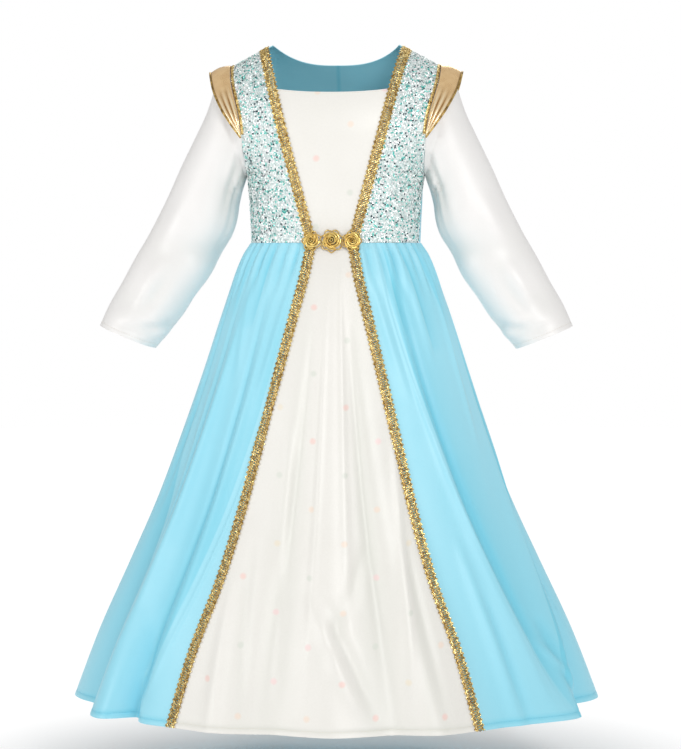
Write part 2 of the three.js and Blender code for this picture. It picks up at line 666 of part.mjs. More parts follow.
// A rolled ribbon rose: a low dome with petals that wind out from its middle
function makeRose(rose) {
  const sectors = 20;
  const rings = 6;
  const points = [new THREE.Vector3(0, 0, rose.height), new THREE.Vector3(0, 0, 0)];
  const faces = [];
  const ringOf = (heightAt, radius) => {
    const numbers = [];
    for (let sector = 0; sector < sectors; sector += 1) {
      const around = (2 * Math.PI * sector) / sectors;
      const wide = radius * (1 - 0.05 * (1 - Math.cos(5 * around)) * (radius / rose.radius));
      const point = new THREE.Vector3(wide * Math.cos(around), wide * Math.sin(around), heightAt(around));
      numbers.push(points.push(point) - 1);
    }
    return [...numbers, numbers[0]];
  };
  const petalHeight = (share) => (around) => {
    const winding = Math.cos(2 * Math.PI * 2.5 * share - around);
    return rose.height * (1 - 0.6 * share * share) + 0.09 * rose.height * winding;
  };
  let previous = null;
  for (let ring = 1; ring <= rings; ring += 1) {
    const share = ring / rings;
    const numbers = ringOf(petalHeight(share), rose.radius * share);
    if (previous) {
      joinRows(numbers, previous, faces);
    } else {
      joinRows(numbers, [0, 0], faces);
    }
    previous = numbers;
  }
  const base = ringOf(() => 0, rose.radius * 0.9);
  joinRows(base, previous, faces);
  joinRows([1, 1], base, faces);
  const whole = faces.filter(([a, b, c]) => a !== b && b !== c && a !== c);
  const mesh = closedMesh(rose.name, points, whole, 'rose');
  const seat = bodicePoint(Math.asin(rose.x / BODICE_SECTIONS[0].halfWidth), WAIST_Z);
  mesh.position.set(rose.x, seat.y - rose.under - ROSE_LIFT, ROSE_Z);
  const turn = Math.sign(rose.x) * ROSE_TURN_DEGREES * DEGREE;
  mesh.rotation.set((90 - ROSE_LEAN_DEGREES) * DEGREE, 0, turn, 'ZYX');
  return mesh;
}

const group = new THREE.Group();
group.add(...makeBodice(), ...makeSkirt(), ...makeBraids());
group.add(makeSleeve('sleeve_left', 1), makeSleeve('sleeve_right', -1));
group.add(makeCap('cap_left', 1), makeCap('cap_right', -1));
group.add(makeCapEdge('cap_edge_left', 1), makeCapEdge('cap_edge_right', -1));
group.add(makeArmholeBraid('armhole_braid_left', 1), makeArmholeBraid('armhole_braid_right', -1));
group.add(...ROSES.map(makeRose));

export default group;
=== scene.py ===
import bpy
import numpy as np
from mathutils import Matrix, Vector


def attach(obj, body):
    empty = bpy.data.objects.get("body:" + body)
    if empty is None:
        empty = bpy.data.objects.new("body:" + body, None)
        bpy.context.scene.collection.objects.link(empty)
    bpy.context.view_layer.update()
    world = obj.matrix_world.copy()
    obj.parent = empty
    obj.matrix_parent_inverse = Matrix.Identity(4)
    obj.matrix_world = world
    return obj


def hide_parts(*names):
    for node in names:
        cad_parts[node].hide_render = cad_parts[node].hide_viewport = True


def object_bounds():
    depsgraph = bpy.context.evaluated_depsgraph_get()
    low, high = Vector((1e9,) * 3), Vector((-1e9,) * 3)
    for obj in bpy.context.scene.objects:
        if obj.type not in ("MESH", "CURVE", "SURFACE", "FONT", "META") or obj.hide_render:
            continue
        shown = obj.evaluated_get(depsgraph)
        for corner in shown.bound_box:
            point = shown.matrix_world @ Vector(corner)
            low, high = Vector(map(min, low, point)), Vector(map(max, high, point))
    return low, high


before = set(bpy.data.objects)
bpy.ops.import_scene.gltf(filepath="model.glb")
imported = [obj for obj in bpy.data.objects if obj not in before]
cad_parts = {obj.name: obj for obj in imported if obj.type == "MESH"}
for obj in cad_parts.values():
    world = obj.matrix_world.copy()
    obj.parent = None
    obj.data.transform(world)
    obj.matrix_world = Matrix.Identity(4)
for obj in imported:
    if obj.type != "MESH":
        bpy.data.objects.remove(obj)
cad_box = [list(corner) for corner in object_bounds()]
print("solids in the frame:", len(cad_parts))

# %% [markdown]
# ## The camera
# A studio photograph of clothes is taken from far away with a long lens, so that the sides don't
# shrink. The camera looks slightly down from the height of the waist. Placing it by the real size of
# a pixel in the plane of the shoulders keeps the lens, the distance and the framing in step.
# %% Camera
PHOTO_WIDTH = 681
PHOTO_HEIGHT = 749
PIXEL = 0.00127
CAMERA_DISTANCE = 3.0
CAMERA_TURN = np.radians(3.5)
CAMERA_Z = -0.2515
HORIZON_ROW = 248
AXIS_COLUMN = 336
SENSOR = 36.0


def add_object(name, data):
    made = bpy.data.objects.new(name, data)
    bpy.context.scene.collection.objects.link(made)
    return made


def aim_at(thing, target):
    thing.rotation_euler = (target - thing.location).to_track_quat("-Z", "Y").to_euler()


def make_camera():
    data = bpy.data.cameras.new("studio_camera")
    camera = add_object("studio_camera", data)
    data.sensor_width = SENSOR
    data.sensor_fit = "HORIZONTAL"
    data.lens = SENSOR * CAMERA_DISTANCE / (PHOTO_WIDTH * PIXEL)
    away = Vector((np.sin(CAMERA_TURN), -np.cos(CAMERA_TURN), 0)) * CAMERA_DISTANCE
    camera.location = away + Vector((0, 0, CAMERA_Z))
    side = Vector((np.cos(CAMERA_TURN), np.sin(CAMERA_TURN), 0))
    aim = side * (PHOTO_WIDTH / 2 - AXIS_COLUMN) * PIXEL
    aim.z = CAMERA_Z - (PHOTO_HEIGHT / 2 - HORIZON_ROW) * PIXEL
    aim_at(camera, aim)
    bpy.context.scene.camera = camera
    return camera


camera = make_camera()
print("lens in millimetres:", round(camera.data.lens, 1))

# %% [markdown]
# ## Sizes and small tables
# A pattern cutter works from a few lengths and from sections of the body. The same sections that give
# the solids their shape are repeated here in metres, because every piece must lie in its solid's place.
# Each table has named columns, and a smooth curve runs through its rows.
# %% Number helpers


def named_table(columns, rows):
    """A small table, as one array for each named column."""
    return dict(zip(columns.split(), np.array(rows, dtype=float).T))


def mix(start, end, share):
    return start + (end - start) * share


def smooth(value, start, end):
    share = np.clip((value - start) / (end - start), 0, 1)
    return share * share * (3 - 2 * share)


def signed_power(value, power):
    return np.sign(value) * np.abs(value) ** power


def unit(vectors):
    return vectors / np.maximum(np.linalg.norm(vectors, axis=-1, keepdims=True), 1e-12)


def bump(value, centre, half):
    return np.exp(-(((value - centre) / half) ** 2))


def column_at(table, column, place, along="z"):
    """A column of a table at any place, on a smooth curve through its rows."""
    places, values = table[along], table[column]
    slopes = np.empty_like(values)
    slopes[1:-1] = (values[2:] - values[:-2]) / (places[2:] - places[:-2])
    slopes[0] = (values[1] - values[0]) / (places[1] - places[0])
    slopes[-1] = (values[-1] - values[-2]) / (places[-1] - places[-2])
    low = np.clip(np.searchsorted(places, place) - 1, 0, len(places) - 2)
    span = places[low + 1] - places[low]
    share = np.clip((place - places[low]) / span, 0, 1)
    straight = mix(values[low], values[low + 1], smooth(share, 0, 1))
    leaving = slopes[low] * span * share * (1 - share) ** 2
    arriving = slopes[low + 1] * span * (1 - share) * share**2
    return straight + leaving - arriving


def points_between(places, known, points):
    """Points at any places along a line of points whose own places are known."""
    return np.stack([np.interp(places, known, points[:, axis]) for axis in range(3)], axis=-1)


print("helpers are ready")

# %% Heights and tables
WAIST_Z = -0.245
HEM_Z = -0.822
ARMPIT_Z = -0.160
NECKLINE_Z = -0.056
SEAM_GAP = 0.0003
CLOTH = 0.0011
SIDES = {"left": 1, "right": -1}

BODICE_SECTIONS = named_table(
    "z half_width front back",
    [
        (-0.245, 0.107, 0.082, 0.074),
        (-0.200, 0.109, 0.084, 0.076),
        (-0.160, 0.112, 0.086, 0.080),
        (-0.147, 0.1203, 0.086, 0.081),
        (-0.125, 0.1376, 0.085, 0.082),
        (-0.095, 0.152, 0.084, 0.082),
        (0.0, 0.158, 0.084, 0.080),
    ],
)
SKIRT_RINGS = named_table(
    "z half_width front back seam_x",
    [
        (-0.822, 0.327, 0.270, 0.275, 0.184),
        (-0.735, 0.295, 0.242, 0.245, 0.159),
        (-0.650, 0.258, 0.212, 0.214, 0.1275),
        (-0.570, 0.224, 0.184, 0.186, 0.104),
        (-0.490, 0.195, 0.159, 0.160, 0.084),
        (-0.410, 0.168, 0.136, 0.135, 0.064),
        (-0.330, 0.143, 0.112, 0.110, 0.044),
        (-0.290, 0.129, 0.099, 0.096, 0.034),
        (-0.262, 0.117, 0.088, 0.083, 0.0285),
        (-0.245, 0.107, 0.082, 0.074, 0.0255),
    ],
)
print("rows in the tables:", len(BODICE_SECTIONS["z"]), len(SKIRT_RINGS["z"]))

# %% [markdown]
# ## The bodice surface
# A bodice is close to a rounded barrel that closes over the shoulders. An angle that runs round the
# body and a level that runs up it give any point, so each panel is only a range of angles and levels.
# Seams and armholes are lines on that surface, and everything sewn on lies on it, moved out a little.
# %% Bodice
SHOULDER_RISE = 0.0045
SHOULDER_FLAT_X = 0.080
SHOULDER_SLOPE = 0.529
SHOULDER_ROUND = 0.110
SHOULDER_POWER = 1.8
SECTION_POWER = 0.909
STRAP_SEAM_X = 0.090
WAIST_SEAM_X = 0.0255
SIDE_SEAM = np.radians(80)
SIDE_SEAM_TURN_Z = -0.200
BACK_NECK = np.radians(28)
BACK_NECK_DROP = 0.022
BACK_NECK_POWER = 2.5
ARMHOLE_DEEPEST_Z = -0.095
ARMHOLE_TOP_SHARE = 0.6
ARMHOLE_DEEP_SHARE = 0.69
RIDGE_LEVEL = -1e-6
QUARTER = np.pi / 2


def bodice_point(angle, level):
    angle, level = np.broadcast_arrays(np.asarray(angle, float), np.asarray(level, float))
    x = column_at(BODICE_SECTIONS, "half_width", level) * signed_power(np.sin(angle), SECTION_POWER)
    front = column_at(BODICE_SECTIONS, "front", level)
    depth = np.where(np.cos(angle) > 0, front, column_at(BODICE_SECTIONS, "back", level))
    share = np.clip(-level / SHOULDER_ROUND, 0, 1)
    rounding = (1 - (1 - share) ** SHOULDER_POWER) ** (1 / SHOULDER_POWER)
    y = -depth * signed_power(np.cos(angle), SECTION_POWER) * rounding
    ridge = SHOULDER_RISE - SHOULDER_SLOPE * np.maximum(0, np.abs(x) - SHOULDER_FLAT_X)
    return np.stack([x, y, level + ridge * smooth(level, -SHOULDER_ROUND, 0)], axis=-1)


def front_seam(level):
    x = mix(WAIST_SEAM_X, STRAP_SEAM_X, 1 - level / WAIST_Z)
    return np.arcsin((x / column_at(BODICE_SECTIONS, "half_width", level)) ** (1 / SECTION_POWER))


def armhole(level):
    fall = np.clip((ARMHOLE_DEEPEST_Z - level) / (ARMHOLE_DEEPEST_Z - ARMPIT_Z), 0, 1)
    share = mix(ARMHOLE_TOP_SHARE, ARMHOLE_DEEP_SHARE, smooth(level, 0, ARMHOLE_DEEPEST_Z))
    return np.arccos((share * np.sqrt(1 - fall * fall)) ** (1 / SECTION_POWER))


def side_seam(level):
    return mix(SIDE_SEAM, QUARTER, smooth(level, SIDE_SEAM_TURN_Z, ARMPIT_Z))


def back_top(angle):
    share = np.clip((np.pi - np.abs(angle)) / BACK_NECK, 0, 1)
    return mix(-BACK_NECK_DROP, RIDGE_LEVEL, share**BACK_NECK_POWER)


print("shoulder point:", bodice_point(0.6, RIDGE_LEVEL).round(3))

# %% [markdown]
# ## The skirt surface
# The skirt is a cone of rings, and its looks come from its folds. Each large fold is a row: where it leaves
# the waist, where it meets the hem, how wide it is, how far it stands out and how far it leans over. Short
# gathers are added under the waist seam. The smaller creases that a hand would smooth out come from a second
# table; each of them fades away at both ends. A third table doesn't move the cloth: it says where painted
# shade lies beside a fold, how sharply it starts and how far it reaches.
# %% Skirt folds
SKIRT_FOLDS = named_table(
    "at_waist at_hem half_angle rise lean start",
    [
        (27, 57, 7, 0.008, 0, -0.250),
        (95, 62, 6, 0.014, 0.005, -0.300),
        (108, 76, 7, -0.027, -0.005, -0.300),
        (118, 92, 8, 0.008, 0, -0.300),
        (14, 41, 5, -0.004, 0, -0.300),
        (8, 25, 5, 0.007, 0, -0.330),
        (7, 15, 5, -0.008, 0, -0.260),
        (1, 2, 5, 0.006, 0, -0.260),
        (-5, -11, 5, -0.007, 0, -0.260),
        (-8, -23, 6, 0.005, 0, -0.330),
        (-30, -44, 5, 0.006, 0, -0.330),
        (-42, -50, 5, -0.008, 0, -0.300),
        (-52, -58, 6, 0.012, 0, -0.300),
        (-66, -71, 6, -0.014, 0, -0.300),
        (-84, -87, 7, 0.008, 0, -0.300),
        (-54, -54, 4.5, 0.016, 0.011, -0.690),
        (-47.5, -47.5, 4, -0.018, -0.009, -0.690),
        (128, 110, 8, -0.014, 0, -0.300),
        (134, 128, 9, 0.012, 0, -0.280),
        (146, 145, 8, -0.020, 0, -0.300),
        (160, 162, 8, 0.010, 0, -0.270),
        (176, 180, 9, -0.017, 0, -0.300),
        (-160, -163, 8, 0.011, 0, -0.280),
        (-142, -146, 8, -0.022, 0, -0.300),
        (-124, -130, 8, 0.012, 0, -0.270),
        (-104, -111, 8, -0.015, 0, -0.310),
    ],
)
print("large folds:", len(SKIRT_FOLDS["rise"]))

# %% Skirt creases
SKIRT_CREASES = named_table(
    "top_degrees low_degrees top low half_angle rise",
    [
        # the ivory front: long ridges and valleys, then folds that cross low down
        (-2, -4, -0.30, -0.80, 1.3, 0.0028),
        (5, 6, -0.27, -0.74, 1.3, 0.0024),
        (-8, -14, -0.34, -0.83, 1.8, -0.0032),
        (9, 16, -0.34, -0.83, 1.8, -0.0036),
        (24, 18, -0.48, -0.83, 1.5, 0.0036),
        (-4, 8, -0.66, -0.80, 1.9, 0.0044),
        (0, 12, -0.66, -0.81, 1.9, -0.0042),
        (12, -2, -0.60, -0.76, 2.2, -0.0028),
        (-14, -10, -0.46, -0.80, 1.6, 0.0026),
        (-22, -17, -0.60, -0.84, 1.7, -0.0030),
        (-26, -24, -0.64, -0.84, 1.6, 0.0028),
        (22, 27, -0.56, -0.84, 1.6, -0.0028),
        # the left side: a light band along the braid, then two deep folds
        (20, 33, -0.26, -0.44, 2.4, 0.0026),
        (31, 56, -0.27, -0.83, 2.2, 0.0046),
        (36, 61, -0.27, -0.83, 2.4, -0.0052),
        (26.5, 60.4, -0.27, -0.84, 0.7, 0.0013),
        (93.4, 60.5, -0.37, -0.84, 0.7, 0.0013),
        (46, 50, -0.26, -0.40, 2.6, 0.0030),
        (40, 46, -0.60, -0.84, 1.7, 0.0034),
        (44, 49, -0.66, -0.84, 1.6, -0.0034),
        (62, 66, -0.70, -0.84, 2.2, -0.0060),
        (56, 72, -0.72, -0.81, 1.8, 0.0040),
        (88, 68, -0.30, -0.83, 2.6, -0.0050),
        (70, 66, -0.26, -0.50, 2.2, 0.0030),
        # the right side
        (-20, -32, -0.26, -0.46, 2.4, 0.0028),
        (-31, -44, -0.30, -0.83, 1.8, 0.0036),
        (-36, -49, -0.30, -0.83, 2.0, -0.0046),
        (-17.6, -45.6, -0.32, -0.84, 0.7, 0.0012),
        (-50, -44, -0.26, -0.42, 2.4, 0.0026),
        (-50, -58, -0.30, -0.83, 2.2, 0.0042),
        (-57, -66, -0.30, -0.83, 2.5, -0.0050),
        (-62, -64, -0.40, -0.84, 1.8, 0.0036),
        (-72, -78, -0.26, -0.60, 2.2, -0.0032),
        (-52, -42, -0.74, -0.82, 1.8, 0.0036),
        # the back
        (104, 100, -0.26, -0.55, 2.4, 0.0032),
        (122, 118, -0.40, -0.84, 2.2, 0.0042),
        (128, 124, -0.40, -0.84, 2.2, -0.0042),
        (140, 137, -0.26, -0.60, 2.0, -0.0034),
        (152, 154, -0.36, -0.84, 2.0, 0.0040),
        (158, 160, -0.36, -0.84, 2.0, -0.0040),
        (168, 171, -0.26, -0.66, 2.2, 0.0034),
        (-172, -171, -0.36, -0.84, 2.0, 0.0038),
        (-166, -165, -0.36, -0.84, 2.0, -0.0038),
        (-152, -155, -0.26, -0.62, 2.2, -0.0034),
        (-134, -138, -0.40, -0.84, 2.0, 0.0042),
        (-128, -132, -0.40, -0.84, 2.2, -0.0042),
        (-116, -120, -0.26, -0.68, 2.2, 0.0034),
        (-98, -99, -0.40, -0.84, 2.2, 0.0038),
    ],
)
print("creases:", len(SKIRT_CREASES["rise"]))

# %% Shade beside the folds
SKIRT_SHADES = named_table(
    "at_waist at_hem side soft fade top low strength",
    [
        # beside the crisp fold edges of the two blue sides
        (27, 61, 1, 0.18, 13, -0.255, -0.83, 0.88),
        (94, 61, 1, 0.18, 11, -0.360, -0.90, 0.98),
        (30, 40, 1, 6.0, 40, -0.500, -1.10, 0.30),
        (-30, -36, -1, 6.0, 40, -0.500, -1.10, 0.22),
        (31, 58, 1, 0.35, 4, -0.235, -0.360, 0.90),
        (46, 74, 1, 0.35, 5, -0.235, -0.380, 0.85),
        (64, 92, 1, 0.5, 6, -0.235, -0.350, 0.70),
        (-18, -46, -1, 0.25, 12, -0.300, -0.90, 0.60),
        (-87, -57, -1, 0.4, 10, -0.420, -0.86, 0.85),
        (-46, -50, -1, 5.0, 9, -0.280, -0.62, 0.50),
        (-38, -58, -1, 0.6, 5, -0.235, -0.350, 0.75),
        (-56, -80, -1, 0.8, 6, -0.235, -0.340, 0.60),
        # broad and soft on the ivory front
        (12, 9, 1, 4.0, 8, -0.260, -0.86, 0.65),
        (-10, -8, -1, 4.0, 7, -0.260, -0.82, 0.50),
        (24, 22, 1, 0.8, 5, -0.560, -0.86, 0.40),
        # the back
        (125, 121, 1, 0.6, 10, -0.340, -0.90, 0.85),
        (155, 157, 1, 0.6, 9, -0.320, -0.90, 0.80),
        (-169, -168, 1, 0.6, 9, -0.340, -0.90, 0.80),
        (-131, -135, 1, 0.6, 10, -0.340, -0.90, 0.85),
    ],
)
print("shaded folds:", len(SKIRT_SHADES["side"]))

# %% Skirt surface
GATHER_LENGTH = 0.085
GATHER_DEPTH = 0.0024
GATHER_FULL_Z = -0.258
SIDE_GATHERS = 9
BACK_GATHERS = 16
GATHER_UNEVEN = 0.2
GATHER_DRIFT = 2.3
GATHER_SEWN = 0.6
GATHER_CLEAR = 0.7
CREASE_TAPER = 0.8
ROUND_SECTION_Z = -0.330
HEM_STITCH_Z = HEM_Z + 0.0065


def rows_of(table):
    return zip(*table.values())


def degrees_away(angle, centre):
    return (np.degrees(angle) - centre + 180) % 360 - 180


def skirt_power(z):
    return mix(1, SECTION_POWER, smooth(z, ROUND_SECTION_Z, WAIST_Z))


def skirt_seam(z):
    seam_share = column_at(SKIRT_RINGS, "seam_x", z) / column_at(SKIRT_RINGS, "half_width", z)
    return np.arcsin(seam_share ** (1 / skirt_power(z)))


def folds_at(angle, z):
    rise = np.zeros(np.broadcast(angle, z).shape)
    lean = np.zeros_like(rise)
    for at_waist, at_hem, half_angle, height, over, start in rows_of(SKIRT_FOLDS):
        centre = mix(at_waist, at_hem, np.clip((WAIST_Z - z) / (WAIST_Z - HEM_Z), 0, 1))
        growth = np.clip((start - z) / (start - HEM_Z), 0, 1)
        share = growth * bump(degrees_away(angle, centre), 0, half_angle)
        rise += height * share
        lean += over * share
    return rise, lean


def gather_rise(angle, z):
    size = np.abs((angle + np.pi) % (2 * np.pi) - np.pi)
    seam = skirt_seam(z)
    on_side = SIDE_GATHERS * (size - seam) / (QUARTER - seam)
    on_back = SIDE_GATHERS + BACK_GATHERS / 2 * (size / QUARTER - 1)
    count = np.where(size < QUARTER, on_side, on_back)
    uneven = 1 - GATHER_UNEVEN * (1 - np.sin(GATHER_DRIFT * count + np.sign(np.sin(angle))))
    fallen = smooth(z, WAIST_Z - GATHER_LENGTH, GATHER_FULL_Z)
    sewn = mix(1, GATHER_SEWN, smooth(z, GATHER_FULL_Z, WAIST_Z))
    clear = smooth(count, 0, GATHER_CLEAR)
    return -GATHER_DEPTH * uneven * fallen * sewn * clear * np.cos(2 * np.pi * count)


def crease_rise(creases, angle, z):
    rise = np.zeros(np.broadcast(angle, z).shape)
    for top_degrees, low_degrees, top, low, half_angle, height in rows_of(creases):
        along = np.clip((top - z) / (top - low), 0, 1)
        away = degrees_away(angle, mix(top_degrees, low_degrees, along))
        rise += height * np.sin(np.pi * along) ** CREASE_TAPER * bump(away, 0, half_angle)
    return rise


def skirt_point(angle, z):
    angle, z = np.broadcast_arrays(np.asarray(angle, float), np.asarray(z, float))
    half_width = column_at(SKIRT_RINGS, "half_width", z)
    rise, lean = folds_at(angle, z)
    leaned = angle + lean / half_width
    front, back = column_at(SKIRT_RINGS, "front", z), column_at(SKIRT_RINGS, "back", z)
    x = half_width * signed_power(np.sin(leaned), skirt_power(z))
    y = -np.where(np.cos(leaned) > 0, front, back) * signed_power(np.cos(leaned), skirt_power(z))
    reach = np.hypot(x, y)
    scale = (reach + rise + gather_rise(angle, z) + crease_rise(SKIRT_CREASES, angle, z)) / reach
    return np.stack([x * scale, y * scale, z], axis=-1)


print("hem at the front:", skirt_point(0, HEM_Z).round(3))

# %% [markdown]
# ## From a surface to cloth
# Cloth could be a single sheet with a Solidify modifier, but a closed shell made from its own rows of
# points keeps its edges where they belong. The helpers move points out along the surface,
# turn a grid of points into a closed thin shell, and keep the distance along the cloth as UVs in metres,
# so that threads and printed spots have their real size.
# %% Moving along and off a surface
TINY_ANGLE = 0.002
TINY_RISE = 0.00005


def normal_of(surface, angle, level):
    across = surface(angle + TINY_ANGLE, level) - surface(angle - TINY_ANGLE, level)
    upward = surface(angle, np.minimum(0, level + TINY_RISE)) - surface(angle, level - TINY_RISE)
    return unit(np.cross(across, upward))


def moved_out(surface, angle, level, distance):
    lift = np.asarray(distance, float)[..., None]
    return surface(angle, level) + normal_of(surface, angle, level) * lift


def angle_of(surface, angle, level, length):
    chord = surface(angle + TINY_ANGLE, level) - surface(angle - TINY_ANGLE, level)
    return 2 * TINY_ANGLE * length / np.linalg.norm(chord, axis=-1)


def lengths_along(points, axis=0):
    steps = np.linalg.norm(np.diff(points, axis=axis), axis=-1)
    start = np.zeros_like(np.take(steps, [0], axis=axis))
    return np.cumsum(np.concatenate([start, steps], axis=axis), axis=axis)


print("a millimetre at the waist in radians:", angle_of(bodice_point, 0.5, WAIST_Z, 0.001).round(4))

# %% Meshes
SHARP_TURN = np.radians(50)
every_piece = {}


def write_values(piece, name, values, domain="POINT"):
    """Keep a number from 0 to 1 at each point or face, for the finish to read."""
    kept = piece.data.attributes.new(name, "FLOAT", domain)
    kept.data.foreach_set("value", values.astype(np.float32))


def write_shares(piece, name, values):
    """Write a grid of values on a cloth, where both skins have the same."""
    write_values(piece, name, np.tile(values.ravel(), 2))


def add_mesh(name, points, faces, finishes, uv=None, finish_of_face=None):
    data = bpy.data.meshes.new(name)
    data.from_pydata(np.asarray(points).tolist(), [], faces)
    data.shade_smooth()
    data.set_sharp_from_angle(angle=SHARP_TURN)
    for finish in finishes:
        data.materials.append(finish)
    if finish_of_face is not None:
        data.polygons.foreach_set("material_index", np.asarray(finish_of_face, dtype=np.int32))
    if uv is not None:
        corners = np.empty(len(data.loops), dtype=np.int32)
        data.loops.foreach_get("vertex_index", corners)
        data.uv_layers.new(name="cloth").data.foreach_set("uv", uv[corners].ravel())
    every_piece[name] = add_object(name, data)
    return every_piece[name]


print("mesh helpers are ready")

# %% Grids, thin cloth and cords


def grid_faces(rows, columns, first=0, inward=False, ring=False):
    i, j = np.meshgrid(np.arange(rows - 1), np.arange(columns if ring else columns - 1), indexing="ij")
    right = (j + 1) % columns
    corners = [i * columns + j, i * columns + right, (i + 1) * columns + right, (i + 1) * columns + j]
    faces = np.stack(corners, axis=-1).reshape(-1, 4) + first
    return (faces[:, ::-1] if inward else faces).tolist()


def grid_normals(points):
    return unit(np.cross(np.gradient(points, axis=1), np.gradient(points, axis=0)))


def cloth_uv(points, middle):
    across = lengths_along(points, axis=1)
    across = across - across[:, middle : middle + 1]
    down = -lengths_along(points[::-1], axis=0)[::-1]
    return np.stack([across, np.broadcast_to(down[:, middle : middle + 1], across.shape)], axis=-1)


def closed_skins(outer, thickness, first=0):
    """Points and faces of a thin cloth: its outer skin, its inner skin and the rim between them."""
    rows, columns = outer.shape[:2]
    count = rows * columns
    inner = outer - thickness * grid_normals(outer)
    faces = grid_faces(rows, columns, first) + grid_faces(rows, columns, first + count, inward=True)
    number = np.arange(count).reshape(rows, columns) + first
    for edge in (number[0, ::-1], number[-1], number[:, 0], number[::-1, -1]):
        faces += np.stack([edge[:-1], edge[1:], edge[1:] + count, edge[:-1] + count], axis=-1).tolist()
    return np.concatenate([outer.reshape(-1, 3), inner.reshape(-1, 3)]), faces


def shell(name, outer, finishes, thickness=CLOTH):
    """A closed thin cloth from rows of points, the lowest first; its second finish is the reverse."""
    rows, columns = outer.shape[:2]
    points, faces = closed_skins(outer, thickness)
    uv = cloth_uv(outer, columns // 2).reshape(-1, 2)
    half = (rows - 1) * (columns - 1)
    finish_of_face = [0] * half + [len(finishes) - 1] * half + [0] * (len(faces) - 2 * half)
    return add_mesh(name, points, faces, finishes, np.concatenate([uv, uv]), finish_of_face)


def flat_tube(path, normals, width, height, sides=6, first=0):
    """Points and faces of a closed cord with an oval section that lies along a path."""
    side = unit(np.cross(np.gradient(path, axis=0), normals))
    turn = 2 * np.pi * np.arange(sides) / sides
    width, height = (np.broadcast_to(size, len(path))[:, None, None] / 2 for size in (width, height))
    ring = side[:, None] * np.cos(turn)[:, None] * width + normals[:, None] * np.sin(turn)[:, None] * height
    points = (path[:, None] + ring).reshape(-1, 3)
    faces = grid_faces(len(path), sides, first, ring=True)
    last = first + (len(path) - 1) * sides
    ends = [list(range(first + sides - 1, first - 1, -1)), list(range(last, last + sides))]
    return points, faces + ends


def cords(name, paths, finishes, width, height, sides):
    """Many cords as one joined mesh; each path comes with the normals of what it lies on."""
    points, faces = [], []
    first = 0
    for path, normals in paths:
        more_points, more_faces = flat_tube(path, normals, width, height, sides, first)
        points.append(more_points)
        faces += more_faces
        first += len(more_points)
    return add_mesh(name, np.concatenate(points), faces, finishes)


print("grid, cloth and cord helpers are ready")

# %% [markdown]
# ## Effects that several finishes share
# Weave, uneven dye, pile, printed spots and twisted metal thread each appear on more than one cloth or
# trim. Each is a node group with named sockets, built once. A group puts out only a colour, a mask or a
# height. The shader, and what depends on the view, stay in the material.
# %% Node helpers


def feed(tree, socket, given):
    if isinstance(given, bpy.types.NodeSocket):
        tree.links.new(given, socket)
    else:
        socket.default_value = given


def node(tree, kind, inputs=None, **settings):
    made = tree.nodes.new(kind)
    made.location.x = 220 * len(tree.nodes)
    for name, value in settings.items():
        setattr(made, name, value)
    for name, given in (inputs or {}).items():
        feed(tree, made.inputs[name], given)
    return made


def maths(tree, operation, *given):
    return node(tree, "ShaderNodeMath", dict(enumerate(given)), operation=operation).outputs[0]


def blend_colours(tree, share, low, high):
    made = node(tree, "ShaderNodeMix", data_type="RGBA")
    feed(tree, made.inputs[0], share)
    feed(tree, made.inputs[6], low)
    feed(tree, made.inputs[7], high)
    return made.outputs[2]


def steps_of_colour(tree, share, stops):
    """Each stop is a share and the colour that starts there, with no blending between them."""
    made = node(tree, "ShaderNodeValToRGB", {"Fac": share})
    made.color_ramp.interpolation = "CONSTANT"
    elements = made.color_ramp.elements
    while len(elements) < len(stops):
        elements.new(0.5)
    for element, (place, colour) in zip(elements, stops):
        element.position = place
        element.color = colour
    return made.outputs["Color"]


def new_group(name, inputs, outputs):
    tree = bpy.data.node_groups.new(name, "ShaderNodeTree")
    for title, kind, value in inputs:
        socket = tree.interface.new_socket(title, in_out="INPUT", socket_type="NodeSocket" + kind)
        if value is not None:
            socket.default_value = value
    for title, kind in outputs:
        tree.interface.new_socket(title, in_out="OUTPUT", socket_type="NodeSocket" + kind)
    return tree, tree.nodes.new("NodeGroupInput").outputs, tree.nodes.new("NodeGroupOutput").inputs


def noise(tree, coordinates, scale, detail=2.0):
    inputs = {"Vector": coordinates, "Scale": scale, "Detail": detail}
    return node(tree, "ShaderNodeTexNoise", inputs).outputs["Fac"]


def remap(tree, value, start, end, low=0.0, high=1.0, **settings):
    """A value that runs from start to end becomes one that runs from low to high."""
    inputs = {"Value": value, "From Min": start, "From Max": end, "To Min": low, "To Max": high}
    return node(tree, "ShaderNodeMapRange", inputs, **settings).outputs[0]


def attribute(tree, name):
    return node(tree, "ShaderNodeAttribute", attribute_name=name).outputs["Fac"]


print("node helpers are ready")

# %% Weave, dye and pile
WHITE = (1, 1, 1, 1)
WEFT_SHARE = 0.3
SLUB_SCALE = 260.0
DYE_FINER = 40.0
DYE_FINE_SHARE = 0.35
DYE_SPREAD = (0.35, 0.65)
PILE_STRETCH = (1, 1, 0.35)
STROKE_HEIGHT = 0.4
STROKE_SPREAD = (0.3, 0.7)
DYE_DETAIL = 3.0
STROKE_DETAIL = 4.0


